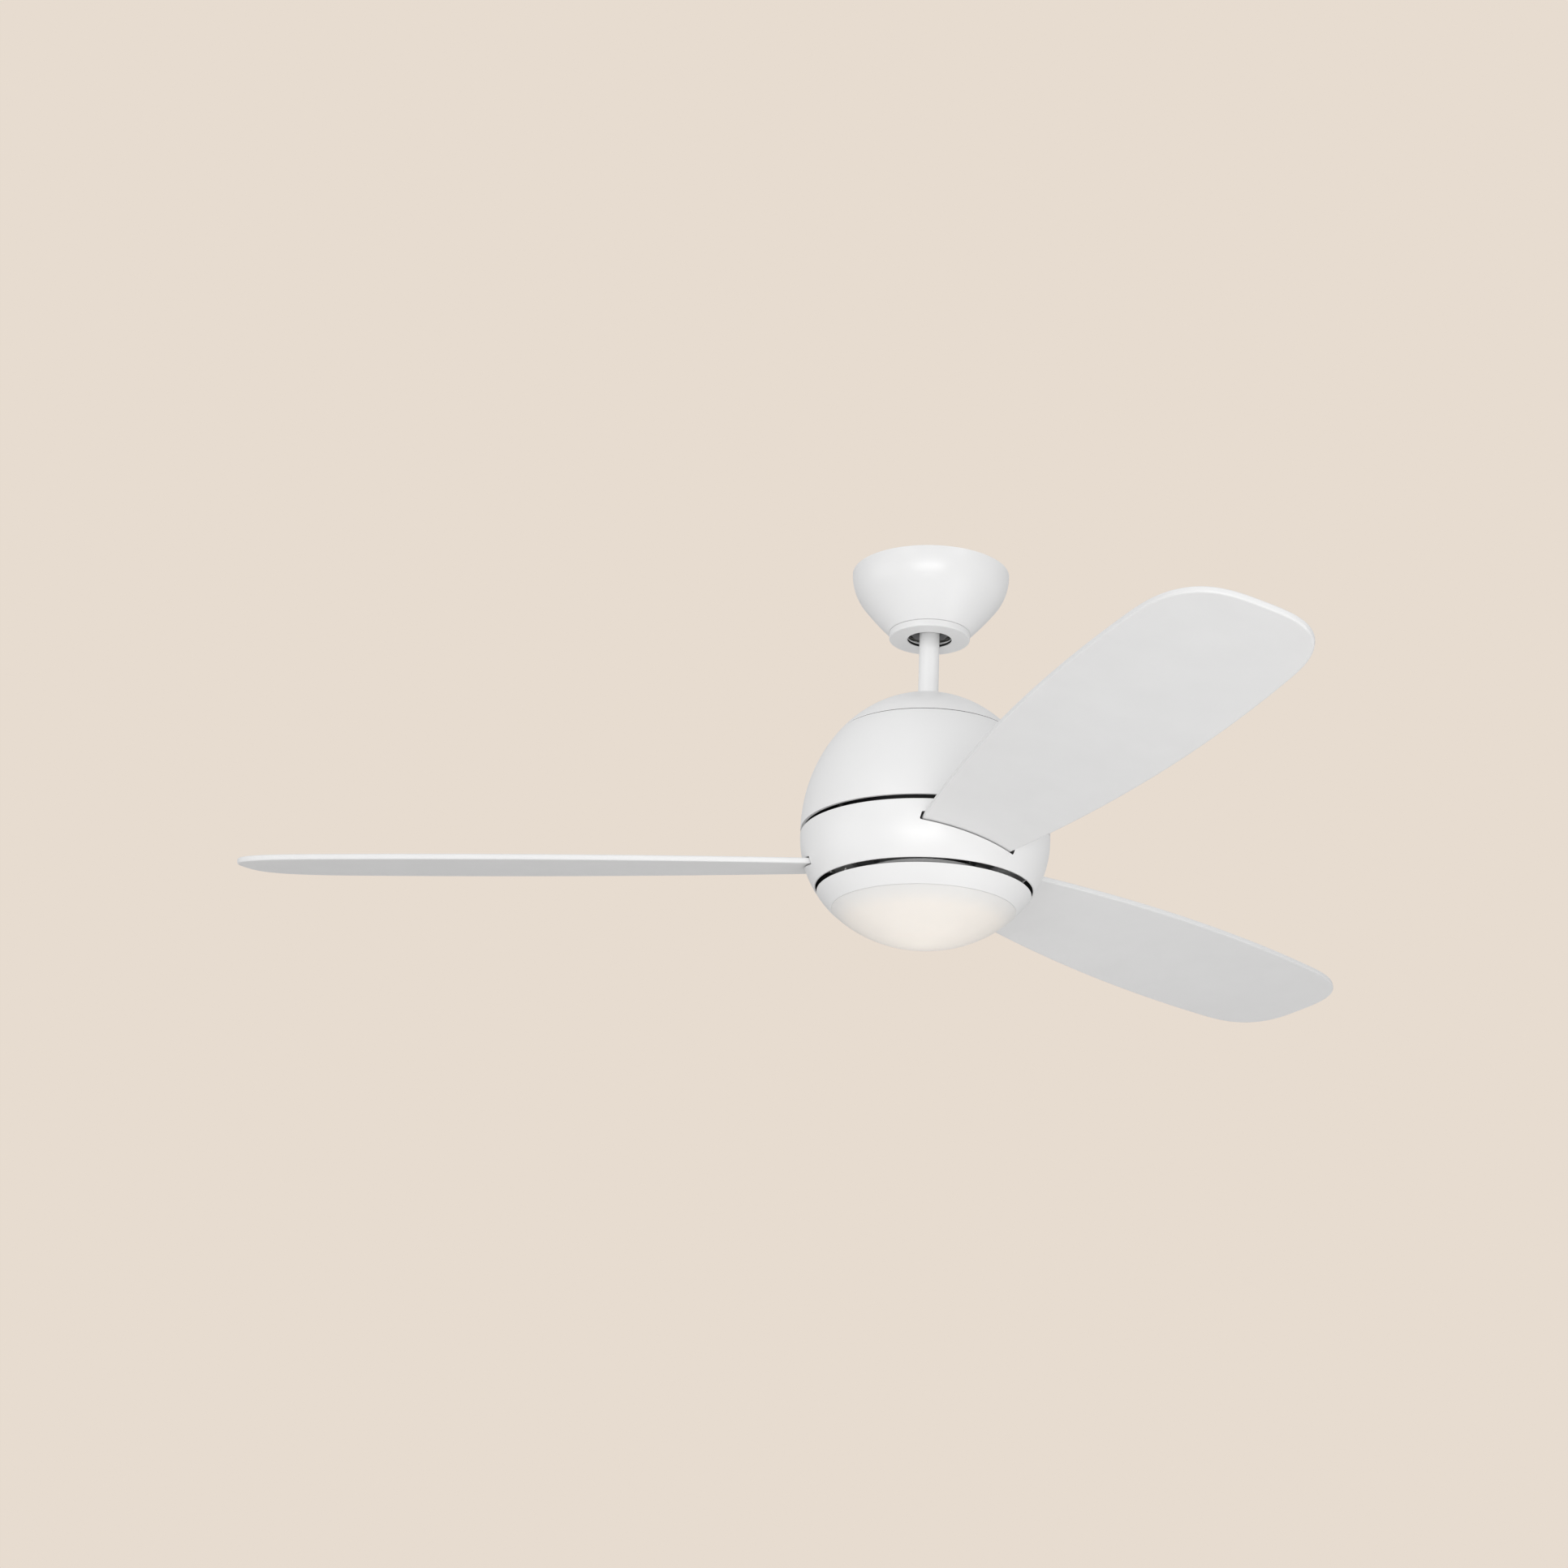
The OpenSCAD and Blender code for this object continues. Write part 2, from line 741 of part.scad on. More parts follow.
// Power supply of the LEDs, held against the pan's web.
module led_driver() {
    top = pan_web_z - pan_web_t;
    color([0.92, 0.92, 0.9])
        difference() {
            union() {
                box([-driver_x, driver_y[0], top - electrics_h], [driver_x, driver_y[1], top]);
                box([-driver_x - 6, 33, top - 1.6], [driver_x + 6, 41, top]);
            }
            for (x = [-driver_x - 3, driver_x + 3])
                post(x, 37, 1.6, top - 3, top + 1);
        }
}

// Reflector tray with the three posts that space it off the web.
module led_tray() {
    top = pan_web_z - pan_web_t;
    color(white)
        difference() {
            union() {
                disc(tray_r, tray_z, tray_z + 1.2);
                ring(tray_r - 1.2, tray_r, tray_z, tray_z + 5);
                for (a = post_at)
                    post(post_r * cos(a), post_r * sin(a), 4, tray_z, top);
            }
            for (a = post_at)
                post(post_r * cos(a), post_r * sin(a), post_hole_r, tray_z - 1, top + 1);
        }
}

module tray_screws() {
    color(steel)
        for (a = post_at)
            screw(post_r * cos(a), post_r * sin(a), tray_z, 1.5, 13, 3, 1.8);
}

module led_board() {
    color(aluminium)
        difference() {
            disc(board_r, tray_z - board_t, tray_z);
            for (a = pan_screw_at)
                post(56 * cos(a), 56 * sin(a), 1.6, tray_z - 3, tray_z + 1);
        }
}

module leds() {
    color([0.95, 0.85, 0.35])
        for (n = [led_count, led_count / 2])
            for (i = [0:n - 1])
                rotate([0, 0, (i + 0.5) * 360 / n])
                    translate([n == led_count ? led_ring_r[0] : led_ring_r[1], 0, tray_z - board_t - 0.4])
                        cube([3, 3, 0.8], center = true);
}

module light_plug() {
    top = pan_web_z - pan_web_t;
    color([0.95, 0.95, 0.93]) {
        box([-6, -33, top - electrics_h], [6, -20, top]);
        box([-4.5, -39, top - 7], [4.5, -33, top - 1]);
    }
}

module pan_gasket() {
    color([0.2, 0.2, 0.2])
        ring(lens_rim_r - lens_wall - 0.5, lens_rim_r + 0.8, lens_rim_top_z + 0.3, pan_web_z - pan_web_t);
}

// Opal dome with its upright rim and bayonet lugs.
module lens() {
    top = lens_joint_z - 0.3;
    color(opal) {
        rotate_extrude() {
            outer = arc_pts(body_r - 0.3, lower_h - 0.3, lower_mid_z,
                level_angle(lower_h - 0.3, lower_mid_z, top), -90, 28);
            inner = arc_pts(body_r - 0.3 - lens_wall, lower_h - 0.3 - lens_wall, lower_mid_z,
                level_angle(lower_h - 0.3 - lens_wall, lower_mid_z, top - 2), -90, 28);
            polygon(concat(outer, reversed(inner), [[lens_rim_r - lens_wall, top]]));
            translate([lens_rim_r - lens_wall, top - 2.4])
                square([lens_wall, lens_rim_top_z - top + 2.4]);
        }
        for (i = [0:lens_lugs - 1])
            ring_part(lens_rim_r - 1, lens_lug_r, lens_joint_z + 2.9, lens_joint_z + 5.2,
                i * 360 / lens_lugs, lug_width);
    }
}

// --- rotor ---

// Half of the rotor's case: plate, skirt, rim flange and bearing hub.
module rotor_half(plate_z, split_z, bearing_z) {
    side = plate_z > split_z ? 1 : -1;
    hub_end = bearing_z - side * (bearing_w / 2 + 1);
    difference() {
        union() {
            disc(rotor_out_r, min(plate_z, split_z), max(plate_z, split_z));
            disc(rotor_flange_r, min(split_z, split_z + side * 4), max(split_z, split_z + side * 4));
        }
        ring(26, rotor_in_r, min(split_z - side, plate_z - side * cover_t),
            max(split_z - side, plate_z - side * cover_t));
        disc(26 + eps, min(split_z - side, hub_end), max(split_z - side, hub_end));
        disc(bearing_out_r, min(hub_end - side, bearing_z + side * bearing_w / 2),
            max(hub_end - side, bearing_z + side * bearing_w / 2));
        disc(14, min(plate_z, split_z) - 1, max(plate_z, split_z) + 1);
        for (i = [0:5])
            rotate([0, 0, i * 60])
                post(rotor_screw_r, 0, 1.6, split_z - 10, split_z + 10);
    }
}

module rotor_upper_cover() {
    color(aluminium)
        rotor_half(rotor_top_z, rotor_split_z, upper_bearing_z);
}

module rotor_lower_cover() {
    color(aluminium)
        difference() {
            union() {
                rotor_half(rotor_bottom_z, rotor_split_z, lower_bearing_z);
                for (i = [0:blades - 1], x = arm_screw_x)
                    rotate([0, 0, blade_azimuth + i * 360 / blades])
                        post(x, 0, 5, rotor_bottom_z + 1, rotor_bottom_z + cover_t + 5);
            }
            for (i = [0:blades - 1], x = arm_screw_x)
                rotate([0, 0, blade_azimuth + i * 360 / blades])
                    post(x, 0, 2.6, rotor_bottom_z - 1, rotor_bottom_z + cover_t + 3);
        }
}

module rotor_screws() {
    color(steel)
        for (i = [0:5])
            rotate([0, 0, i * 60])
                screw(rotor_screw_r, 0, rotor_split_z + 4, 1.5, 8, 2.6, 2, -1);
}

module magnets() {
    color(dark_steel)
        for (i = [0:15])
            ring_part(stator_r + 0.9, rotor_in_r - 0.05, stator_z - 16, stator_z + 16, i * 22.5, 20);
}

// White band between the two gaps. Its web is clamped between the rotor and the blade arms.
module blade_band() {
    color(white)
        difference() {
            rotate_extrude() {
                dome_section(body_r, lower_h, lower_mid_z, band_bottom_z, lower_mid_z, shell);
                translate([body_r - shell, lower_mid_z - 0.2])
                    square([shell, band_top_z - lower_mid_z + 0.2]);
                translate([28, rotor_bottom_z - web_t])
                    square([body_r - shell / 2 - 28, web_t]);
            }
            for (i = [0:blades - 1]) {
                at_blade(i)
                    box([96, -blade_edge(103) - slot_end, -slot_gap],
                        [125, blade_edge(103) + slot_end, blade_t + slot_gap]);
                rotate([0, 0, blade_azimuth + i * 360 / blades])
                    for (x = arm_screw_x)
                        post(x, 0, 2.6, rotor_bottom_z - 5, rotor_bottom_z + 5);
            }
        }
}

// Cast arms between the rotor and the blades: flange, two ribs and a pitched pad.
module blade_arms() {
    flange_z = rotor_bottom_z - web_t;
    color(aluminium)
        for (i = [0:blades - 1])
            difference() {
                rotate([0, 0, blade_azimuth + i * 360 / blades])
                    box([arm_x[0], -arm_half_w, arm_low_z], [arm_x[1], arm_half_w, flange_z]);
                at_blade(i)
                    box([0, -90, -60], [160, 90, blade_t]);
                difference() {
                    rotate([0, 0, blade_azimuth + i * 360 / blades])
                        box([0, -arm_half_w + arm_wall, arm_low_z],
                            [160, arm_half_w - arm_wall, flange_z - 3]);
                    at_blade(i)
                        box([0, -90, -60], [170, 90, blade_t + arm_wall]);
                }
                rotate([0, 0, blade_azimuth + i * 360 / blades])
                    for (x = arm_screw_x)
                        post(x, 0, 2.6, flange_z - 5, flange_z + 5);
                at_blade(i)
                    for (p = blade_screw_at)
                        post(p[0], p[1], 2.3, 0, blade_t + 6);
            }
}

module arm_screws() {
    color(steel)
        for (i = [0:blades - 1], x = arm_screw_x)
            rotate([0, 0, blade_azimuth + i * 360 / blades])
                screw(x, 0, rotor_bottom_z - web_t - 3, 2.5, 11, 4, 2.6);
}

// Half width of a blade at distance u from the axis.
function blade_edge(u) =
    let (side = blade_half_w - taper_w * pow((widest_u - u) / taper_u, 2),
         k = max(0, (u - tip_start_u) / (sweep_r - tip_start_u)))
    side * pow(max(0, 1 - pow(k, tip_power)), 1 / tip_power);

// Blade outline: slightly barrelled sides and a blunt rounded tip.
function blade_outline() =
    let (sides = [for (i = [0:15]) blade_root_u + (tip_start_u - blade_root_u) * i / 16],
         tip = [for (i = [0:20]) tip_start_u + (sweep_r - tip_start_u) * sin(i * 4.5)],
         us = concat(sides, tip))
    concat([for (u = us) [u, blade_edge(u)]], [for (i = [len(us) - 2:-1:0]) [us[i], -blade_edge(us[i])]]);

module blade(i) {
    color(blade_white)
        at_blade(i)
            difference() {
                linear_extrude(blade_t)
                    polygon(blade_outline());
                for (p = blade_screw_at)
                    post(p[0], p[1], 2.3, -1, blade_t + 1);
            }
}

module blade_1() {
    blade(0);
}

module blade_2() {
    blade(1);
}

module blade_3() {
    blade(2);
}

module blade_screws() {
    color(steel)
        for (i = [0:blades - 1])
            at_blade(i)
                for (p = blade_screw_at)
                    screw(p[0], p[1], 0, 2.2, blade_t + 5, 4.4, 2.2);
}

hanger_bracket();
canopy();
canopy_screws();
ground_screw();
receiver();
wire_nuts();
canopy_ring();
ball_seat();
hanger_ball();
ball_pin();
ball_set_screw();
downrod();
rod_coupling();
coupling_pin();
pin_clip();
coupling_set_screws();
motor_cap();
upper_housing();
housing_screws();
motor_shaft();
stator_core();
stator_windings();
bearing_inner_races();
lead_bundle();
light_plate();
plate_nut();
light_pan();
pan_screws();
led_driver();
led_tray();
tray_screws();
led_board();
leds();
light_plug();
pan_gasket();
rotor_upper_cover();
rotor_lower_cover();
rotor_screws();
magnets();
bearing_outer_races();
bearing_balls();
blade_band();
blade_arms();
arm_screws();
blade_1();
blade_2();
blade_3();
blade_screws();
lens();
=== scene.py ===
import json
import math

import bmesh
import bpy
from mathutils import Matrix, Vector


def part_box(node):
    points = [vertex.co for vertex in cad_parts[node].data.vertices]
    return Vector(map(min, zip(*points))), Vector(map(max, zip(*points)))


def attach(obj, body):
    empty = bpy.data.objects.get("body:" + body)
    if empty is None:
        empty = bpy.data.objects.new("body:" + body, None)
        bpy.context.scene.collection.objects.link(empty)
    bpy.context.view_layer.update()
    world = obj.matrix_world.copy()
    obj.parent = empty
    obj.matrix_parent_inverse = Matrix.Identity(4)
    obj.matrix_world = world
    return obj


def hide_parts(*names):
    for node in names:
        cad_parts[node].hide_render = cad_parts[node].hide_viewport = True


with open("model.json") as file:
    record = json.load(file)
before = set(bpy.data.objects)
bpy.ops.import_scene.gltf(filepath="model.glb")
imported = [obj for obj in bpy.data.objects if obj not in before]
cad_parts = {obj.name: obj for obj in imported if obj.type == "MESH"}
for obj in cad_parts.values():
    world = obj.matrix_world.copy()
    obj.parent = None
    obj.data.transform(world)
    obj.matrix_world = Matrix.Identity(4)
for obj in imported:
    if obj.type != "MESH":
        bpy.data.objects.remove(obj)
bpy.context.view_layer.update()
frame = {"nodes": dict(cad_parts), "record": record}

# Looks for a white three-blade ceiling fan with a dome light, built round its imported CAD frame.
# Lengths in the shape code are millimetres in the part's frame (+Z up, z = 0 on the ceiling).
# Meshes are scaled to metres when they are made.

MM = 0.001
TAU = math.tau
CUT_EDGE = 0.1  # bevel of a hole's cutter
SHARP = 38.0  # degrees from which an edge is shaded sharp
THIRDS = (0, 120, 240)  # blades, ring tabs and lens lugs come in threes


def low(node, axis):
    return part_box(node)[0][axis] / MM


def high(node, axis):
    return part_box(node)[1][axis] / MM


# --- sizes, read from the CAD nodes where a node gives them ---
BODY_R = high("blade_band", 0)
UPPER_MID, UPPER_H = -259.0, 134.5
LOWER_MID, LOWER_H = -265.0, 102.5
SHELL = 1.6
CAP_LOW, CAP_HOLE_R = low("motor_cap", 2), 10.6
UPPER_LIP, UPPER_TOP = low("upper_housing", 2), -166.0
BAND_TOP, BAND_LOW = high("blade_band", 2), low("blade_band", 2)
LIP_RELIEF = 0.2  # how far the painted edges of the upper gap stand back
PAN_LOW = low("light_pan", 2)
PAN_TOP = -317.9
LENS_TOP = high("lens", 2)
CANOPY_R, CANOPY_LOW = high("canopy", 0), low("canopy", 2)
RING_R, RING_LOW = high("canopy_ring", 0), low("canopy_ring", 2)
ROD_R = high("downrod", 0)
BALL_Z = -41.0
BALL_R = 26.0
BLADE_Z, BLADE_T = -293.1, 5.3
BLADE_PITCH, BLADE_RISE, BLADE_AZIMUTH = -11.25, 1.26, 171.8
SWEEP_R = 660.4
TIP_L, TIP_POWER = 93.5, 3.1  # length and fullness of a blade's rounded tip
HALF_W, WIDEST_AT = 73.8, 455  # half the blade's largest width, and where it lies
TAPER, TAPER_SPAN = 28.2, 350  # how much narrower it is, this far from there

# ---------------------------------------------------------------- materials


class Nodes:
    """A small helper for building a material's node tree."""

    def __init__(self, name):
        self.material = bpy.data.materials.new(name)
        self.material.use_nodes = True
        self.tree = self.material.node_tree
        self.tree.nodes.clear()
        self.out = self.tree.nodes.new("ShaderNodeOutputMaterial")
        self.shader = self.tree.nodes.new("ShaderNodeBsdfPrincipled")
        self.link(self.shader, 0, self.out, 0)
        self.coord = self.tree.nodes.new("ShaderNodeTexCoord")

    def link(self, a, a_out, b, b_in):
        self.tree.links.new(a.outputs[a_out], b.inputs[b_in])

    def set(self, **values):
        for key, value in values.items():
            self.shader.inputs[key.replace("_", " ")].default_value = value

    def stretched(self, scale):
        mapping = self.tree.nodes.new("ShaderNodeMapping")
        mapping.inputs["Scale"].default_value = scale
        self.link(self.coord, "Object", mapping, "Vector")
        return mapping

    def noise(self, scale, detail=3.0, roughness=0.5, vector=None):
        node = self.tree.nodes.new("ShaderNodeTexNoise")
        node.inputs["Scale"].default_value = scale
        node.inputs["Detail"].default_value = detail
        node.inputs["Roughness"].default_value = roughness
        if vector is None:
            self.link(self.coord, "Object", node, "Vector")
        else:
            self.link(vector, 0, node, "Vector")
        return node

    def ramp(self, source, stops):
        """Colour ramp over a factor output: stops are (position, colour or grey)."""
        node = self.tree.nodes.new("ShaderNodeValToRGB")
        ramp = node.color_ramp
        while len(ramp.elements) < len(stops):
            ramp.elements.new(0.5)
        for element, (position, colour) in zip(ramp.elements, stops):
            element.position = position
            if not isinstance(colour, (tuple, list)):
                colour = (colour,) * 3
            element.color = (*colour[:3], 1.0)
        self.tree.links.new(source, node.inputs["Fac"])
        return node

    def spread(self, source, low_value, high_value, from_low=0.3, from_high=0.7):
        node = self.tree.nodes.new("ShaderNodeMapRange")
        node.inputs["From Min"].default_value = from_low
        node.inputs["From Max"].default_value = from_high
        node.inputs["To Min"].default_value = low_value
        node.inputs["To Max"].default_value = high_value
        self.tree.links.new(source, node.inputs["Value"])
        return node

    def bump(self, heights):
        """Chain of bumps: each is (height output, distance in metres, strength)."""
        last = None
        for source, distance, strength in heights:
            node = self.tree.nodes.new("ShaderNodeBump")
            node.inputs["Distance"].default_value = distance
            node.inputs["Strength"].default_value = strength
            self.tree.links.new(source, node.inputs["Height"])
            if last is not None:
                self.link(last, 0, node, "Normal")
            last = node
        self.link(last, 0, self.shader, "Normal")


def tint(colour, factor):
    return tuple(min(1.0, c * factor) for c in colour[:3])


def coated(name, colour, rough, peel=0.12):
    """Powder coat: faint clouding in the colour, uneven gloss and an orange-peel skin."""
    m = Nodes(name)
    cloud = m.noise(9.0, 4.0)
    dust = m.noise(70.0, 5.0, 0.6)
    colours = m.ramp(cloud.outputs["Fac"], [(0.3, tint(colour, 0.985)), (0.7, tint(colour, 1.012))])
    m.link(colours, 0, m.shader, "Base Color")
    gloss = m.spread(dust.outputs["Fac"], rough - 0.035, rough + 0.05)
    m.link(gloss, 0, m.shader, "Roughness")
    skin = m.noise(1500.0, 2.0)
    peel_noise = m.noise(330.0, 2.0)
    m.bump([(peel_noise.outputs["Fac"], 0.00004, peel), (skin.outputs["Fac"], 0.00001, peel)])
    return m.material


def bare_metal(name, colour, rough=0.3, brushed=(1.0, 1.0, 8.0), grain=220.0, metallic=1.0):
    """Plated or machined metal: brushing along one direction, with smudges."""
    m = Nodes(name)
    fine = m.noise(grain, 4.0, 0.6, m.stretched(brushed))
    smudge = m.noise(35.0, 4.0, 0.6)
    colours = m.ramp(smudge.outputs["Fac"], [(0.25, tint(colour, 0.86)), (0.75, tint(colour, 1.05))])
    m.link(colours, 0, m.shader, "Base Color")
    gloss = m.spread(fine.outputs["Fac"], rough - 0.08, rough + 0.12)
    m.link(gloss, 0, m.shader, "Roughness")
    m.set(Metallic=metallic)
    m.bump([(fine.outputs["Fac"], 0.00004, 0.25), (smudge.outputs["Fac"], 0.0001, 0.1)])
    return m.material


def cast(name, colour, rough=0.5):
    """Die-cast metal: a grainy skin with small pits."""
    m = Nodes(name)
    grain = m.noise(600.0, 4.0, 0.65)
    stain = m.noise(28.0, 5.0, 0.6)
    colours = m.ramp(stain.outputs["Fac"], [(0.3, tint(colour, 0.8)), (0.7, tint(colour, 1.06))])
    m.link(colours, 0, m.shader, "Base Color")
    gloss = m.spread(grain.outputs["Fac"], rough - 0.1, rough + 0.12)
    m.link(gloss, 0, m.shader, "Roughness")
    m.set(Metallic=0.9)
    m.bump([(grain.outputs["Fac"], 0.0001, 0.35)])
    return m.material


def moulded(name, colour, rough=0.45, texture=500.0, depth=0.00003):
    """Moulded plastic: a fine spark-eroded texture and slightly uneven colour."""
    m = Nodes(name)
    grain = m.noise(texture, 3.0)
    cloud = m.noise(18.0, 3.0)
    colours = m.ramp(cloud.outputs["Fac"], [(0.3, tint(colour, 0.94)), (0.7, tint(colour, 1.04))])
    m.link(colours, 0, m.shader, "Base Color")
    gloss = m.spread(grain.outputs["Fac"], rough - 0.06, rough + 0.08)
    m.link(gloss, 0, m.shader, "Roughness")
    m.bump([(grain.outputs["Fac"], depth, 0.3)])
    return m.material


def blade_paint(name, colour):
    """Matt paint over a fibreboard core: a faint figure shows under the paint."""
    m = Nodes(name)
    figure = m.noise(26.0, 6.0, 0.6)
    speck = m.noise(900.0, 2.0)
    colours = m.ramp(figure.outputs["Fac"], [(0.3, tint(colour, 0.985)), (0.7, tint(colour, 1.01))])
    m.link(colours, 0, m.shader, "Base Color")
    gloss = m.spread(figure.outputs["Fac"], 0.44, 0.54)
    m.link(gloss, 0, m.shader, "Roughness")
    m.bump([(speck.outputs["Fac"], 0.00002, 0.12)])
    return m.material


def opal_glass(name, rim, centre, glow, centre_strength, rim_strength):
    """Opal lens lit from behind: warmer and brighter round the axis, paler towards the rim."""
    m = Nodes(name)
    m.set(Roughness=0.3, Subsurface_Weight=0.2, Subsurface_Scale=0.006, Subsurface_Radius=(1.0, 0.9, 0.8))
    flat = m.stretched((1.0, 1.0, 0.0))
    length = m.tree.nodes.new("ShaderNodeVectorMath")
    length.operation = "LENGTH"
    m.link(flat, 0, length, 0)
    fade = m.spread(length.outputs["Value"], 1.0, 0.0, 0.066, 0.084)
    fade.interpolation_type = "SMOOTHSTEP"
    cloud = m.noise(30.0, 2.0)
    pale = m.ramp(cloud.outputs["Fac"], [(0.3, tint(rim, 0.985)), (0.7, tint(rim, 1.01))])
    warm = m.ramp(cloud.outputs["Fac"], [(0.3, tint(centre, 0.985)), (0.7, tint(centre, 1.01))])
    mix = m.tree.nodes.new("ShaderNodeMix")
    mix.data_type = "RGBA"
    m.tree.links.new(fade.outputs[0], mix.inputs["Factor"])
    m.tree.links.new(pale.outputs[0], mix.inputs[6])
    m.tree.links.new(warm.outputs[0], mix.inputs[7])
    m.tree.links.new(mix.outputs[2], m.shader.inputs["Base Color"])
    strength = m.spread(length.outputs["Value"], centre_strength, rim_strength, 0.0, 0.082)
    m.set(Emission_Color=(*glow, 1.0))
    m.link(strength, 0, m.shader, "Emission Strength")
    ripple = m.noise(300.0, 2.0)
    m.bump([(ripple.outputs["Fac"], 0.00002, 0.08)])
    return m.material


WHITE = (0.80, 0.80, 0.80)
MAT = {
    "canopy_paint": coated("canopy_coat", WHITE, 0.34),
    "housing_paint": coated("housing_coat", WHITE, 0.36),
    "rod_paint": coated("rod_coat", (0.86, 0.86, 0.86), 0.3),
    # near-black coat for the inner faces of the cap, housing, band and ring collar: painted shade that
    # keeps the gaps and the hole dark
    "painted_shade_inside": coated("painted_shade_inside", (0.05, 0.05, 0.052), 0.6, 0.3),
    "inner_white": coated("inner_coat", (0.66, 0.66, 0.66), 0.5, 0.3),
    "blade_paint": blade_paint("blade_coat", (0.78, 0.78, 0.78)),
    "steel": bare_metal("zinc_plate", (0.60, 0.60, 0.58), 0.32),
    "dark_steel": bare_metal("black_oxide", (0.10, 0.10, 0.11), 0.38),
    "ball_coat": moulded("ball_nylon", (0.19, 0.19, 0.195), 0.45),
    "die_cast": cast("die_cast", (0.5, 0.5, 0.51)),
    # near-black coat for the rotor covers inside the housing: painted shade that keeps the housing's gaps
    # dark
    "shade_black_cast": coated("painted_shade_black", (0.035, 0.035, 0.037), 0.55, 0.3),
    "laminations": bare_metal("laminations", (0.22, 0.22, 0.23), 0.45, (1.0, 1.0, 40.0), 60.0),
    "copper": bare_metal("enamel_wire", (0.62, 0.22, 0.08), 0.25, (1.0, 1.0, 3.0), 90.0, 0.8),
    "brass": bare_metal("brass_clip", (0.75, 0.55, 0.22), 0.22),
    "nylon": moulded("nylon_liner", (0.03, 0.03, 0.032), 0.45),
    "white_plastic": moulded("white_plastic", (0.74, 0.74, 0.72), 0.42),
    "orange_plastic": moulded("orange_plastic", (0.75, 0.22, 0.03), 0.35),
    "green_screw": bare_metal("green_screw", (0.05, 0.30, 0.10), 0.3, metallic=0.6),
    "felt": moulded("felt", (0.03, 0.03, 0.03), 0.9, 900.0, 0.0003),
    "board": moulded("board_mask", (0.78, 0.80, 0.78), 0.25),
    "led": moulded("led_phosphor", (0.85, 0.68, 0.12), 0.3),
    "opal": opal_glass("opal_lens", rim=(0.725, 0.72, 0.71), centre=(0.80, 0.76, 0.715),
                       glow=(1.0, 0.89, 0.76), centre_strength=0.24, rim_strength=0.065),
    "wire_black": moulded("wire_black", (0.025, 0.025, 0.027), 0.35),
    "wire_white": moulded("wire_white", (0.72, 0.72, 0.70), 0.35),
    "wire_green": moulded("wire_green", (0.04, 0.30, 0.09), 0.35),
}

# ---------------------------------------------------------------- mesh helpers


def make(name, parts, material, body, replaces=(), sharp=SHARP, weighted=True):
    """One object from (vertices, faces) parts in millimetres.

    It rides on a body and takes the places of CAD nodes. A cutter has no body.
    """
    verts, faces = [], []
    for part_verts, part_faces in parts:
        base = len(verts)
        verts += [(x * MM, y * MM, z * MM) for x, y, z in part_verts]
        faces += [tuple(i + base for i in face) for face in part_faces]
    mesh = bpy.data.meshes.new(name)
    mesh.from_pydata(verts, [], faces)
    bm = bmesh.new()
    bm.from_mesh(mesh)
    bmesh.ops.remove_doubles(bm, verts=bm.verts, dist=1e-7)
    bmesh.ops.recalc_face_normals(bm, faces=bm.faces)
    bm.to_mesh(mesh)
    bm.free()
    obj = bpy.data.objects.new(name, mesh)
    bpy.context.scene.collection.objects.link(obj)
    obj.data.materials.append(MAT[material])
    smooth(obj, sharp, weighted)
    if body:
        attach(obj, body)
        if replaces:
            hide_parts(*replaces)
    return obj


def smooth(obj, sharp=SHARP, weighted=True):
    obj.data.shade_smooth()
    obj.data.set_sharp_from_angle(angle=math.radians(sharp))
    if weighted:
        mod = obj.modifiers.new("weighted", "WEIGHTED_NORMAL")
        mod.keep_sharp = True
        mod.weight = 80


def cut(obj, cutters, sharp=SHARP):
    """Subtracts closed cutter parts from obj and shades the result again."""
    for mod in list(obj.modifiers):
        obj.modifiers.remove(mod)
    tools = []
    for i, part in enumerate(cutters):
        tool = make(f"cutter_{i}", [part], "steel", None, weighted=False)
        mod = obj.modifiers.new(f"cut_{i}", "BOOLEAN")
        mod.operation = "DIFFERENCE"
        mod.solver = "EXACT"
        mod.object = tool
        tools.append(tool)
    bpy.context.view_layer.update()
    graph = bpy.context.evaluated_depsgraph_get()
    mesh = bpy.data.meshes.new_from_object(obj.evaluated_get(graph))
    obj.modifiers.clear()
    old = obj.data
    mesh.name = old.name
    obj.data = mesh
    bpy.data.meshes.remove(old)
    for tool in tools:
        bpy.data.objects.remove(tool)
    while len(obj.data.materials) > 1:
        obj.data.materials.pop()
    smooth(obj, sharp)


def lathe(profile, segments=192, start=0.0, sweep=360.0):
    """Solid of revolution of a closed (r, z) profile. Points at r = 0 become single pole vertices."""
    full = sweep >= 360.0
    columns = segments if full else segments + 1
    verts, faces, rings = [], [], []
    for r, z in profile:
        if r < 1e-6:
            rings.append([len(verts)] * columns)
            verts.append((0.0, 0.0, z))
            continue
        ring = []
        for k in range(columns):
            a = math.radians(start + sweep * k / segments)
            ring.append(len(verts))
            verts.append((r * math.cos(a), r * math.sin(a), z))
        rings.append(ring)
    count = len(profile)
    for i in range(count):
        a, b = rings[i], rings[(i + 1) % count]
        for k in range(segments):
            n = (k + 1) % columns
            face = [a[k], a[n], b[n], b[k]]
            face = [v for j, v in enumerate(face) if v != face[j - 1]]
            if len(face) >= 3:
                faces.append(tuple(face))
    if not full:
        faces.append(tuple(ring[0] for ring in rings))
        faces.append(tuple(ring[-1] for ring in reversed(rings)))
    return verts, faces


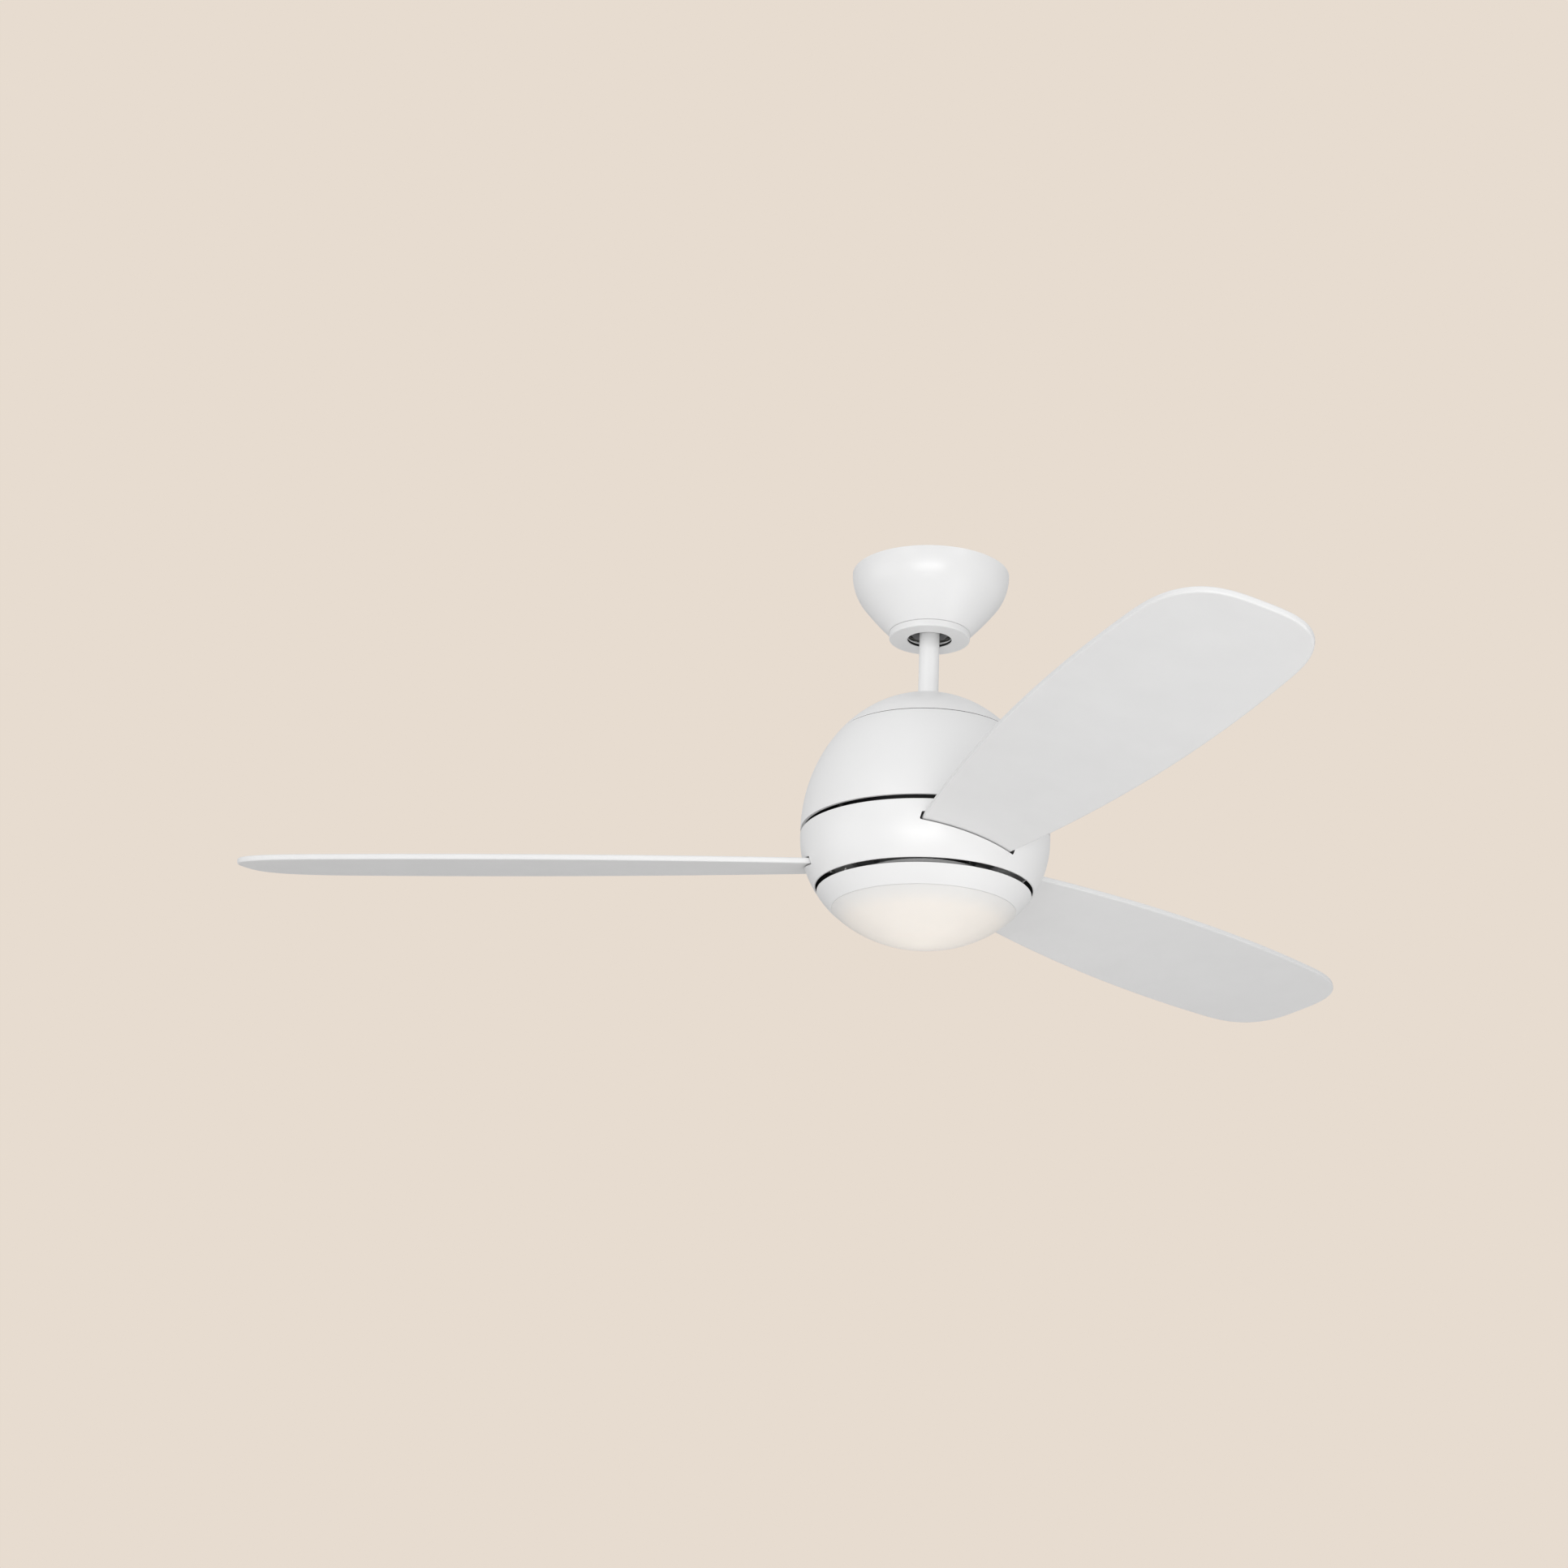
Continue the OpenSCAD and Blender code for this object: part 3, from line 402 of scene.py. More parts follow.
def rounded(points, steps=4):
    """Rounds the corners of a closed 2-D outline. points are (x, y) or (x, y, radius)."""
    out = []
    n = len(points)
    for i, point in enumerate(points):
        radius = point[2] if len(point) > 2 else 0.0
        p = Vector(point[:2])
        if radius <= 0:
            out.append((p.x, p.y))
            continue
        a = Vector(points[i - 1][:2]) - p
        b = Vector(points[(i + 1) % n][:2]) - p
        la, lb = a.length, b.length
        a.normalize()
        b.normalize()
        half = a.angle(b) / 2
        if half > math.radians(88):
            out.append((p.x, p.y))
            continue
        reach = min(radius / math.tan(half), la * 0.48, lb * 0.48)
        radius = reach * math.tan(half)
        centre = p + (a + b).normalized() * (radius / math.sin(half))
        first, last = p + a * reach - centre, p + b * reach - centre
        turn = first.angle_signed(last)
        for k in range(steps + 1):
            t = -turn * k / steps
            out.append(tuple(centre + Matrix.Rotation(t, 2) @ first))
    return out


def arc(a, b, mid, t0, t1, steps):
    """Points on an ellipse of half axes a (radius) and b (height) about level mid."""
    return [(a * math.cos(math.radians(t0 + (t1 - t0) * i / steps)),
             mid + b * math.sin(math.radians(t0 + (t1 - t0) * i / steps))) for i in range(steps + 1)]


def level(b, mid, z):
    """Angle at which an ellipse about mid reaches level z."""
    return math.degrees(math.asin(max(-1.0, min(1.0, (z - mid) / b))))


def dome_r(a, b, mid, z):
    return a * math.sqrt(max(0.0, 1 - ((z - mid) / b) ** 2))


def dome_shell(a, b, mid, z0, t, steps, lip, end_r):
    """Closed profile of a domed wall from a level up to a hole in its top, with rounded lips."""
    outer = arc(a, b, mid, level(b, mid, z0), math.degrees(math.acos(end_r / a)), steps)
    inner = arc(a - t, b - t, mid, level(b - t, mid, z0), math.degrees(math.acos(end_r / (a - t))), steps)
    points = [(*outer[0], lip)] + outer[1:-1] + [(*outer[-1], lip)]
    points += [(*inner[-1], lip)] + inner[1:-1][::-1] + [(*inner[0], lip)]
    return rounded(points, 3)


def box_part(lo, hi):
    """Box between two corners."""
    corners = [(x, y, z) for z in (lo[2], hi[2]) for y in (lo[1], hi[1]) for x in (lo[0], hi[0])]
    return corners, [(0, 2, 3, 1), (4, 5, 7, 6), (0, 1, 5, 4), (2, 6, 7, 3), (0, 4, 6, 2), (1, 3, 7, 5)]


def loft(loops):
    """Skin over closed loops with equal numbers of points, closed at both ends."""
    verts = [p for loop in loops for p in loop]
    n = len(loops[0])
    faces = []
    for i in range(len(loops) - 1):
        for k in range(n):
            a, b = i * n + k, i * n + (k + 1) % n
            faces.append((a, b, b + n, a + n))
    faces.append(tuple(range(n - 1, -1, -1)))
    faces.append(tuple(range((len(loops) - 1) * n, len(loops) * n)))
    return verts, faces


def prism(outline, z0, z1, bevel=0.4, turn=None):
    """Upright prism over a 2-D outline with bevelled top and bottom edges."""
    pts = [Vector(p[:2]) for p in outline]
    n = len(pts)
    area = sum(pts[i].x * pts[(i + 1) % n].y - pts[(i + 1) % n].x * pts[i].y for i in range(n))
    sign = 1 if area > 0 else -1
    inner = []
    for i in range(n):
        a = (pts[i] - pts[i - 1]).normalized()
        b = (pts[(i + 1) % n] - pts[i]).normalized()
        na, nb = Vector((-a.y, a.x)) * sign, Vector((-b.y, b.x)) * sign
        mitre = na + nb
        inner.append(pts[i] + mitre * (bevel / max(0.3, mitre.dot(na))))
    loops = []
    half = 0.3 * bevel
    for z, t in ((z0, 1.0), (z0 + half, 0.3), (z0 + bevel, 0.0),
                 (z1 - bevel, 0.0), (z1 - half, 0.3), (z1, 1.0)):
        loops.append([(*(p.lerp(q, t)), z) for p, q in zip(pts, inner)])
    verts, faces = loft(loops)
    if turn is not None:
        verts = [tuple(turn @ Vector(v)) for v in verts]
    return verts, faces


def round_box(x0, y0, x1, y1, radius, steps=5):
    return rounded([(x0, y0, radius), (x1, y0, radius), (x1, y1, radius), (x0, y1, radius)], steps)


def circle(x, y, r, n=32):
    return [(x + r * math.cos(TAU * i / n), y + r * math.sin(TAU * i / n)) for i in range(n)]


def tube(path, radius, sides=12):
    """Round wire that follows a path of 3-D points."""
    pts = [Vector(p) for p in path]
    loops, normal = [], None
    for i, p in enumerate(pts):
        tangent = (pts[min(i + 1, len(pts) - 1)] - pts[max(i - 1, 0)]).normalized()
        if normal is None:
            normal = tangent.orthogonal().normalized()
        normal = (normal - tangent * normal.dot(tangent)).normalized()
        side = tangent.cross(normal)
        turns = [TAU * k / sides for k in range(sides)]
        loops.append([tuple(p + (normal * math.cos(a) + side * math.sin(a)) * radius) for a in turns])
    return loft(loops)


def curve_path(points, steps=8):
    """Smooth path through 3-D points (Catmull-Rom)."""
    pts = [Vector(p) for p in points]
    pts = [2 * pts[0] - pts[1]] + pts + [2 * pts[-1] - pts[-2]]
    out = []
    for i in range(1, len(pts) - 2):
        a, b, c, d = pts[i - 1:i + 3]
        for k in range(steps):
            t = k / steps
            out.append(0.5 * (2 * b + (c - a) * t + (2 * a - 5 * b + 4 * c - d) * t * t
                              + (3 * b - 3 * c + d - a) * t ** 3))
    out.append(pts[-2])
    return [tuple(p) for p in out]


def around(radius, hole_r, angles, z0, z1):
    """Upright cutters for holes at a radius, one at each angle in degrees."""
    return [prism(circle(radius * math.cos(math.radians(t)), radius * math.sin(math.radians(t)), hole_r),
                  z0, z1, CUT_EDGE) for t in angles]


def moved(part, matrix):
    return [tuple(matrix @ Vector(v)) for v in part[0]], part[1]


def at_blade(index):
    """Frame of a blade: X along it, Z its upper normal, origin where its underside meets the axis."""
    return (Matrix.Translation((0, 0, BLADE_Z))
            @ Matrix.Rotation(math.radians(BLADE_AZIMUTH + THIRDS[index]), 4, "Z")
            @ Matrix.Rotation(math.radians(-BLADE_RISE), 4, "Y")
            @ Matrix.Rotation(math.radians(BLADE_PITCH), 4, "X"))


def coat_inside(obj, material, test):
    """Gives a second material to the faces whose centre (mm) and normal pass the test."""
    obj.data.materials.append(MAT[material])
    for poly in obj.data.polygons:
        if test(Vector(poly.center) / MM, poly.normal):
            poly.material_index = 1


def facing_in(mid, a, b):
    def test(c, n):
        out = Vector((c.x, c.y, (c.z - mid) * (a / b) ** 2))
        return n.dot(out) < -0.15 * out.length
    return test


# ---------------------------------------------------------------- ceiling end

RIM_H, SHOULDER_R, SHOULDER_TURN, FLANK_R = 0.4, 49.2, 37.5, 307.0
CANOPY_WALL = 1.5
FLANGE_Z = CANOPY_LOW + 1.8
HOLE_R = 27.5
TAB_R, TAB_TURN, TAB_WIDTH = 35.2, 15.0, 10.0
CANOPY_SCREW_Y, CANOPY_SCREW_R = 31, 2.1
RING_TOP = CANOPY_LOW - 0.15
PLATE_TOP = RING_LOW + 1.1
RING_BORE_R, RING_WALL = 20.9, 1.5
COLLAR_R, COLLAR_OUT_R, COLLAR_LIP_R = 25.5, 26.7, 21.2
COLLAR_H, COLLAR_LIP_T = 2.5, 1.2
SHADE_FROM, SHADE_TO = 21.6, 25.6  # radii between which the collar's inside is painted near-black: painted shade under the collar's lip
PIN_HOLE_R, BALL_PIN_Z, COUPLING_PIN_Z = 3.1, BALL_Z + 6, -143.0
BALL_BORE_R, ROD_WALL = 9.65, 2


def canopy_line(t, z_end, steps=(36, 20)):
    """One side of the canopy, set in by t: low upright rim, round shoulder, slightly bulging flank."""
    turn = math.radians(SHOULDER_TURN)
    cx = CANOPY_R - SHOULDER_R - (FLANK_R - SHOULDER_R) * math.cos(turn)
    cz = -RIM_H + (FLANK_R - SHOULDER_R) * math.sin(turn)
    last = math.asin((cz - z_end) / (FLANK_R - t))
    line = [(CANOPY_R - t, 0.0)]
    for i in range(steps[0] + 1):
        a = turn * i / steps[0]
        line.append((CANOPY_R - SHOULDER_R + (SHOULDER_R - t) * math.cos(a),
                     -RIM_H - (SHOULDER_R - t) * math.sin(a)))
    for i in range(1, steps[1] + 1):
        a = turn + (last - turn) * i / steps[1]
        line.append((cx + (FLANK_R - t) * math.cos(a), cz - (FLANK_R - t) * math.sin(a)))
    return line


def build_canopy():
    outer, inner = canopy_line(0, CANOPY_LOW), canopy_line(CANOPY_WALL, FLANGE_Z)
    points = [(*outer[0], 0.3)] + outer[1:-1] + [(*outer[-1], 0.6)]
    points += [(HOLE_R, CANOPY_LOW, 0.3), (HOLE_R, FLANGE_Z, 0.3)] + inner[::-1][:-1] + [(*inner[0], 0.3)]
    obj = make("canopy_shell", [lathe(rounded(points, 4), 256)], "canopy_paint",
               "ceiling_mount", ["canopy"])
    cutters = []
    for third in THIRDS:
        for r0, r1, az, width in ((TAB_R - 0.4, TAB_R + 1.4, TAB_TURN / 2, TAB_TURN + TAB_WIDTH + 3),
                                  (TAB_R + 0.6, TAB_R + 2.4, TAB_TURN - 1, TAB_WIDTH + 3)):
            box = [(r0, CANOPY_LOW - 1), (r1, CANOPY_LOW - 1), (r1, FLANGE_Z + 0.5), (r0, FLANGE_Z + 0.5)]
            cutters.append(lathe(box, 16, third + az - width / 2, width))
    for side in (-1, 1):
        screw = circle(0, side * CANOPY_SCREW_Y, CANOPY_SCREW_R)
        cutters.append(prism(screw, CANOPY_LOW - 1, FLANGE_Z + 1, CUT_EDGE))
    cut(obj, cutters)


def build_ring():
    lip_low = PLATE_TOP + COLLAR_H
    lip_top = lip_low + COLLAR_LIP_T
    wall_r = RING_R - RING_WALL
    profile = rounded([(RING_BORE_R, RING_LOW, 0.5), (RING_BORE_R, PLATE_TOP, 0.3),
                       (COLLAR_R, PLATE_TOP, 0.5), (COLLAR_R, lip_low, 0.4),
                       (COLLAR_LIP_R, lip_low, 0.35), (COLLAR_LIP_R, lip_top, 0.35),
                       (COLLAR_OUT_R, lip_top, 0.5), (COLLAR_OUT_R, PLATE_TOP, 0.4),
                       (wall_r, PLATE_TOP, 0.5), (wall_r, RING_TOP, 0.4),
                       (RING_R, RING_TOP, 0.5), (RING_R, RING_LOW, 1.1)], 5)
    parts = [lathe(profile, 256)]
    for third in THIRDS:
        hook = [(TAB_R, PLATE_TOP - 0.4), (TAB_R + 1, PLATE_TOP - 0.4), (TAB_R + 1, FLANGE_Z + 0.3),
                (TAB_R + 2, FLANGE_Z + 0.3), (TAB_R + 2, FLANGE_Z + 1.2), (TAB_R + 1.6, FLANGE_Z + 1.4),
                (TAB_R, FLANGE_Z + 1.4)]
        parts.append(lathe(hook, 10, third - TAB_WIDTH / 2, TAB_WIDTH))
    obj = make("canopy_ring_shell", parts, "canopy_paint", "cover_ring", ["canopy_ring"])
    # the collar's inner faces between these radii take the near-black painted shade
    coat_inside(obj, "painted_shade_inside", lambda c, n: PLATE_TOP - 0.05 < c.z < lip_low + 0.05
                and SHADE_FROM < math.hypot(c.x, c.y) < SHADE_TO)


def pin_hole(z, reach):
    """Cutter for a pin's level hole through the axis."""
    turn = Matrix.Translation((0, 0, z)) @ Matrix.Rotation(math.radians(90), 4, "Y")
    return moved(prism(circle(0, 0, PIN_HOLE_R), -reach, reach, CUT_EDGE), turn)


def build_ball():
    zt, zb = BALL_Z + 17, BALL_Z - 20
    sphere = arc(BALL_R, BALL_R, BALL_Z, level(BALL_R, BALL_Z, zb), level(BALL_R, BALL_Z, zt), 40)
    points = [(*sphere[0], 0.6)] + sphere[1:-1] + [(*sphere[-1], 0.8)]
    points += [(14.5, zt, 0.5), (14.0, zt - 4, 0.5), (BALL_BORE_R, zt - 4, 0.3), (BALL_BORE_R, zb + 9, 0.3),
               (13.6, zb + 9, 0.8), (16.2, zb, 0.6)]
    obj = make("hanger_ball_shell", [lathe(rounded(points, 4), 128)], "ball_coat",
               "hanging_part", ["hanger_ball"])
    slot_box = box_part((-3.1, 20, BALL_Z - 15), (3.1, 40, BALL_Z + 15))
    cut(obj, [slot_box, pin_hole(BALL_PIN_Z, 40)])


def build_rod():
    z0, z1 = low("downrod", 2), high("downrod", 2)
    profile = rounded([(ROD_R, z0, 0.4), (ROD_R, z1, 0.4), (ROD_R - ROD_WALL, z1, 0.4),
                       (ROD_R - ROD_WALL, z0, 0.4)], 4)
    obj = make("downrod_tube", [lathe(profile, 96)], "rod_paint",
               "hanging_part", ["downrod"])
    cut(obj, [pin_hole(z, 15) for z in (BALL_PIN_Z, COUPLING_PIN_Z)])


# ---------------------------------------------------------------- inside the canopy

PLATE_X, PLATE_Y, PLATE_T = 58.0, 20.0, 2.5
SEAT_R, CUP_R, CUP_TOP = 29.0, 33.0, BALL_Z + 8
CUP_LOW = BALL_Z - 13
WIRE_HOLE_X, EARTH_Y = 21.5, -12.0
NUT_X, NUT_Y = (-20.0, 0.0, 20.0), -37.0
BOX_SCREW_X, RIB_Y, LID_SCREW_X = 44.45, 16, 33
SIDEWAYS = Matrix(((1, 0, 0, 0), (0, 0, 1, 0), (0, 1, 0, 0), (0, 0, 0, 1)))


def build_bracket():
    """Pressed ceiling plate, two bent legs and the cup that carries the ball."""
    sheet = prism(round_box(-PLATE_X, -PLATE_Y, PLATE_X, PLATE_Y, 4), -PLATE_T, 0, 0.35)
    plate = make("bracket_plate", [sheet], "steel", "ceiling_mount", ["hanger_bracket"])
    holes = [prism(circle(0, EARTH_Y, 2.3, 24), -4, 1, CUT_EDGE)]
    for side in (-1, 1):
        x = side * BOX_SCREW_X
        holes.append(prism(round_box(x - 6, -2.6, x + 6, 2.6, 2.59, 8), -4, 1, CUT_EDGE))
        holes.append(prism(circle(side * WIRE_HOLE_X, 0, 7.5, 40), -4, 1, CUT_EDGE))
    for side in (-1, 1):
        groove = round_box(-27, side * RIB_Y - 1.2, 27, side * RIB_Y + 1.2, 1.19, 5)
        holes.append(prism(groove, -0.6, 1, CUT_EDGE))
    cut(plate, holes)
    legs = []
    for side in (-1, 1):
        strip = rounded([(30.8, -39, 0.5), (33.4, -39, 0.5), (33.4, -2.4, 2.6), (37, -2.4), (37, -1.4),
                         (30.8, -1.4)], 5)
        legs.append(prism([(side * x, z) for x, z in strip], -14, 14, 0.4, SIDEWAYS))
    for side in (-1, 1):
        rib = rounded([(-24, -3.2, 0.7), (24, -3.2, 0.7), (26, -2.3), (-26, -2.3)], 3)
        legs.append(prism(rib, side * RIB_Y - 1.8, side * RIB_Y + 1.8, 0.5, SIDEWAYS))
    make("bracket_legs", legs, "steel", "ceiling_mount", ["hanger_bracket"])
    seat = arc(SEAT_R, SEAT_R, BALL_Z, 0, -math.degrees(math.asin(13 / SEAT_R)), 14)
    profile = rounded([(CUP_R, CUP_TOP, 1.2), (SEAT_R, CUP_TOP, 0.9)] + seat[:-1] + [
        (26, CUP_LOW), (26, CUP_LOW - 2.6, 0.6), (34.5, CUP_LOW - 2.6, 0.5), (34.5, CUP_LOW, 0.7),
        (CUP_R, CUP_LOW, 1.0)], 4)
    cup = make("bracket_cup", [lathe(profile, 128)], "steel", "ceiling_mount", ["hanger_bracket"])
    cut(cup, [prism(circle(0, side * CANOPY_SCREW_Y, CANOPY_SCREW_R, 24), CUP_LOW - 4, CUP_LOW + 4,
                    CUT_EDGE) for side in (-1, 1)])
    turn = Matrix.Translation((0, 0, BALL_Z)) @ Matrix.Rotation(math.radians(-90), 4, "X")
    make("bracket_key", [moved(prism(circle(0, 0, 1.8, 24), 22, 31, 0.4), turn)], "steel",
         "ceiling_mount", ["hanger_bracket"])


def build_receiver():
    """Receiver box with a lid line, a setting window, cooling slots and a strain relief for its wires."""
    body = prism(round_box(-37, 20.2, 37, 46, 3.5), -24, -5.6, 1.2)
    obj = make("receiver_case", [body], "white_plastic", "ceiling_mount", ["receiver"])
    slots = [prism(round_box(x, 24, x + 2, 42, 0.9, 3), -25, -23.2, CUT_EDGE) for x in range(-24, 25, 6)]
    cut(obj, slots)
    lid = make("receiver_lid", [prism(round_box(-36.7, 20.5, 36.7, 45.7, 3.2), -5.8, -3, 0.7)],
               "white_plastic", "ceiling_mount", ["receiver"])
    wells = [prism(round_box(14, 27, 30, 38, 1.0, 3), -4.4, -2, CUT_EDGE),
             prism(round_box(-28, 26, 4, 40, 1.5, 3), -3.35, -2, CUT_EDGE)]
    wells += [prism(circle(x, 33, 2.4, 24), -4.2, -2, CUT_EDGE) for x in (-LID_SCREW_X, LID_SCREW_X)]
    cut(lid, wells)
    switch = [prism(round_box(15, 28.5, 29, 36.5, 0.5, 2), -4.6, -3.7, 0.2)]
    make("receiver_switch", switch, "nylon", "ceiling_mount")
    sliders = [prism(round_box(x, 29.5 + 3 * (i % 2), x + 2, 32.5 + 3 * (i % 2), 0.3, 2), -3.9, -3.2, 0.2)
               for i, x in enumerate((16, 19.3, 22.6, 25.9))]
    make("receiver_sliders", sliders, "wire_white", "ceiling_mount")
    screws = []
    for x in (-LID_SCREW_X, LID_SCREW_X):
        head = lathe(rounded([(0, -4.4), (2.0, -4.4), (2.0, -3.7, 0.4), (0, -3.3)], 3), 28)
        screws.append(moved(head, Matrix.Translation((x, 33, 0))))
    make("receiver_screws", screws, "steel", "ceiling_mount")
    turn = Matrix.Translation((-36, 35, -13)) @ Matrix.Rotation(math.radians(-90), 4, "Y")
    relief = lathe(rounded([(0, 0), (5.2, 0), (5.2, 2.2, 0.6), (4.0, 3.0), (3.6, 6.0, 0.8),
                            (0, 6.0)], 3), 32)
    make("receiver_relief", [moved(relief, turn)], "nylon", "ceiling_mount")


def ribbed_nut(x, y, ribs=14):
    """Twist-on connector: ribbed cone, closed below and open above."""
    stations = [(-26.0, 1.6, 0), (-25.7, 2.7, 0), (-25.0, 3.3, 0), (-24.2, 3.5, 0.10), (-18.0, 4.1, 0.16),
                (-12.0, 4.7, 0.16), (-10.4, 4.9, 0.05), (-10.0, 5.3, 0), (-8.4, 5.4, 0), (-8.0, 5.1, 0),
                (-8.0, 4.4, 0), (-8.3, 4.1, 0), (-13.0, 3.2, 0)]
    n = ribs * 6
    loops = []
    for z, r, depth in stations:
        loops.append([(x + (r + 2 * depth * math.cos(ribs * TAU * k / n)) * math.cos(TAU * k / n),
                       y + (r + 2 * depth * math.cos(ribs * TAU * k / n)) * math.sin(TAU * k / n), z)
                      for k in range(n)])
    return loft(loops)


def build_wiring():
    """Twist-on connectors, house wires through the plate and the receiver's own wires."""
    make("wire_nut_bodies", [ribbed_nut(x, NUT_Y) for x in NUT_X], "orange_plastic", "ceiling_mount",
         ["wire_nuts"])
    for i, (colour, x) in enumerate(zip(("black", "white", "green"), NUT_X)):
        hole = WIRE_HOLE_X * (1 if colour == "green" else -1) + 2.5 * (i - 1)
        house = [(hole, 1.5 * i - 2, -0.3), (hole, 1.5 * i - 2, -5),
                 (hole * 0.95 + x * 0.05, -5 - 2 * i, -11), (hole * 0.6 + x * 0.4, -19, -12),
                 (x + 1.6, -31, -6.5), (x + 1.7, NUT_Y, -4.5), (x + 1.6, NUT_Y, -12)]
        y = 33.0 + 2.0 * i
        own = [(-40, y, -13 + i), (-45, y - 3, -13 + i), (-49 + i, 20, -13), (-50 + i, 2, -14),
               (-46, -16, -14), (-38 + 2 * i, -27, -12), (x * 0.55 - 11, -33, -7 + i),
               (x - 1.7, NUT_Y - 0.6, -4.5), (x - 1.6, NUT_Y, -12)]
        parts = [tube(curve_path(path, 7), 1.15, 12) for path in (house, own)]
        if colour == "green":
            earth = [(x, NUT_Y - 1.6, -12), (x, NUT_Y - 1.9, -4.6), (x - 4, -30, -6.4), (8, -20, -7.5),
                     (3.4, -14.5, -4.2), (1.6, -12.6, -3.3)]
            parts.append(tube(curve_path(earth, 7), 1.0, 12))
        make(f"wires_{colour}", parts, f"wire_{colour}", "ceiling_mount", ["wire_nuts"])
    lug = lathe(rounded([(2.4, -3.0, 0.15), (2.4, -2.55, 0.15), (3.9, -2.55, 0.15),
                         (3.9, -3.0, 0.15)], 2), 32)
    make("earth_lug", [moved(lug, Matrix.Translation((0, EARTH_Y, 0)))], "copper", "ceiling_mount")


def build_lead_plugs():
    """Latched plugs on the upper ends of the leads."""
    parts = []
    for side in (-1, 1):
        y = side * 4.4
        parts.append(prism(round_box(-4.6, y - 2.9, 4.6, y + 2.9, 0.8), -22, -14.2, 0.4))
        parts.append(prism(round_box(-1.6, y + side * 2.4, 1.6, y + side * 3.9, 0.4), -20.5, -15.4, 0.3))
        for x in (-2.3, 2.3):
            parts.append(prism(round_box(x - 1.4, y - 1.6, x + 1.4, y + 1.6, 0.4), -14.6, -13.6, 0.2))
    make("lead_plugs", parts, "wire_white", "hanging_part")


# ---------------------------------------------------------------- housing

HOUSING_SCREW_AT, ARM_SCREW_AT = 28, (56, 69)  # radii of the screw circles
BLADE_SCREW_AT = ((74, 0), (91, 17), (91, -17))  # along and across a blade

def build_cap():
    seam = CAP_LOW
    profile = dome_shell(BODY_R, UPPER_H, UPPER_MID, seam, SHELL, 56, 0.45, CAP_HOLE_R)
    lip_r = dome_r(BODY_R, UPPER_H, UPPER_MID, seam) - 3.3
    lip = rounded([(lip_r, seam + 0.1, 0.2), (lip_r + 1.3, seam + 0.1, 0.2), (lip_r + 1.3, seam + 1.5),
                   (lip_r, seam + 1.5)], 3)
    obj = make("motor_cap_shell", [lathe(profile, 256), lathe(lip, 192)], "housing_paint", "hanging_part",
               ["motor_cap"])
    # the cap's inner faces take the near-black painted shade
    coat_inside(obj, "painted_shade_inside", facing_in(UPPER_MID, BODY_R, UPPER_H))


def build_upper_housing():
    a, b, mid = BODY_R, UPPER_H, UPPER_MID
    top = UPPER_TOP
    web_top, web_low = -166.4, -168.0
    lip = UPPER_LIP + LIP_RELIEF
    outer = arc(a, b, mid, level(b, mid, lip), level(b, mid, top), 56)
    r_in = [dome_r(a - SHELL, b - SHELL, mid, z) for z in (top, web_low, UPPER_LIP + SHELL)]
    inner = arc(a - SHELL, b - SHELL, mid, level(b - SHELL, mid, web_low),
                level(b - SHELL, mid, UPPER_LIP + SHELL), 50)
    points = [(*outer[0], 0.4)] + outer[1:-1] + [(*outer[-1], 0.4)]
    points += [(r_in[0], top, 0.3), (r_in[0] - 0.3, web_top), (16.3, web_top, 0.3), (16.3, web_low, 0.3)]
    points += inner[:-1] + [(r_in[2], UPPER_LIP + SHELL, 0.3), (a - 3.2, UPPER_LIP + SHELL, 0.4),
                            (a - 3.2, lip, 0.5)]
    obj = make("upper_housing_shell", [lathe(rounded(points, 4), 288)], "housing_paint", "hanging_part",
               ["upper_housing"])
    cut(obj, around(HOUSING_SCREW_AT, 2.1, (45, 135, 225, 315), -180, -160))
    # the housing's inner faces take the near-black painted shade
    coat_inside(obj, "painted_shade_inside", facing_in(UPPER_MID, BODY_R, UPPER_H))


def blade_edge(u):
    """Half width of a blade at a distance from the axis."""
    k = max(0.0, (u - (SWEEP_R - TIP_L)) / TIP_L)
    side = HALF_W - TAPER * ((WIDEST_AT - u) / TAPER_SPAN) ** 2
    return side * max(0.0, 1 - k ** TIP_POWER) ** (1 / TIP_POWER)


def build_band():
    web_top, web_low, hub = -264.2, -266.0, 28.0
    edge = BAND_TOP - LIP_RELIEF
    outer = arc(BODY_R, LOWER_H, LOWER_MID, level(LOWER_H, LOWER_MID, BAND_LOW), 0, 40)
    inner = arc(BODY_R - SHELL, LOWER_H - SHELL, LOWER_MID, level(LOWER_H - SHELL, LOWER_MID, BAND_LOW),
                level(LOWER_H - SHELL, LOWER_MID, web_low), 40)
    points = [(*outer[0], 0.5)] + outer[1:] + [(BODY_R, edge, 0.4), (BODY_R - SHELL, edge, 0.4)]
    points += [(BODY_R - SHELL, web_top, 0.2), (hub, web_top, 0.3), (hub, web_low, 0.3), (*inner[-1], 0.4)]
    points += inner[1:-1][::-1] + [(*inner[0], 0.5)]
    obj = make("blade_band_shell", [lathe(rounded(points, 4), 384)], "housing_paint",
               "rotor", ["blade_band"])
    half = blade_edge(103) + 2.6
    cutters = []
    for i in range(3):
        section = rounded([(-half, -1.2, 1.6), (half, -1.2, 1.6), (half, BLADE_T + 1.2, 1.6),
                           (-half, BLADE_T + 1.2, 1.6)], 5)
        loops = [[(x, v, z) for v, z in section] for x in (96, 125)]
        cutters.append(moved(loft(loops), at_blade(i)))
        for x in ARM_SCREW_AT:
            cutters += around(x, 2.6, (BLADE_AZIMUTH + THIRDS[i],), -270, -260)
    cut(obj, cutters)
    # the band's inner faces take the near-black painted shade
    coat_inside(obj, "painted_shade_inside", facing_in(LOWER_MID, BODY_R, LOWER_H))


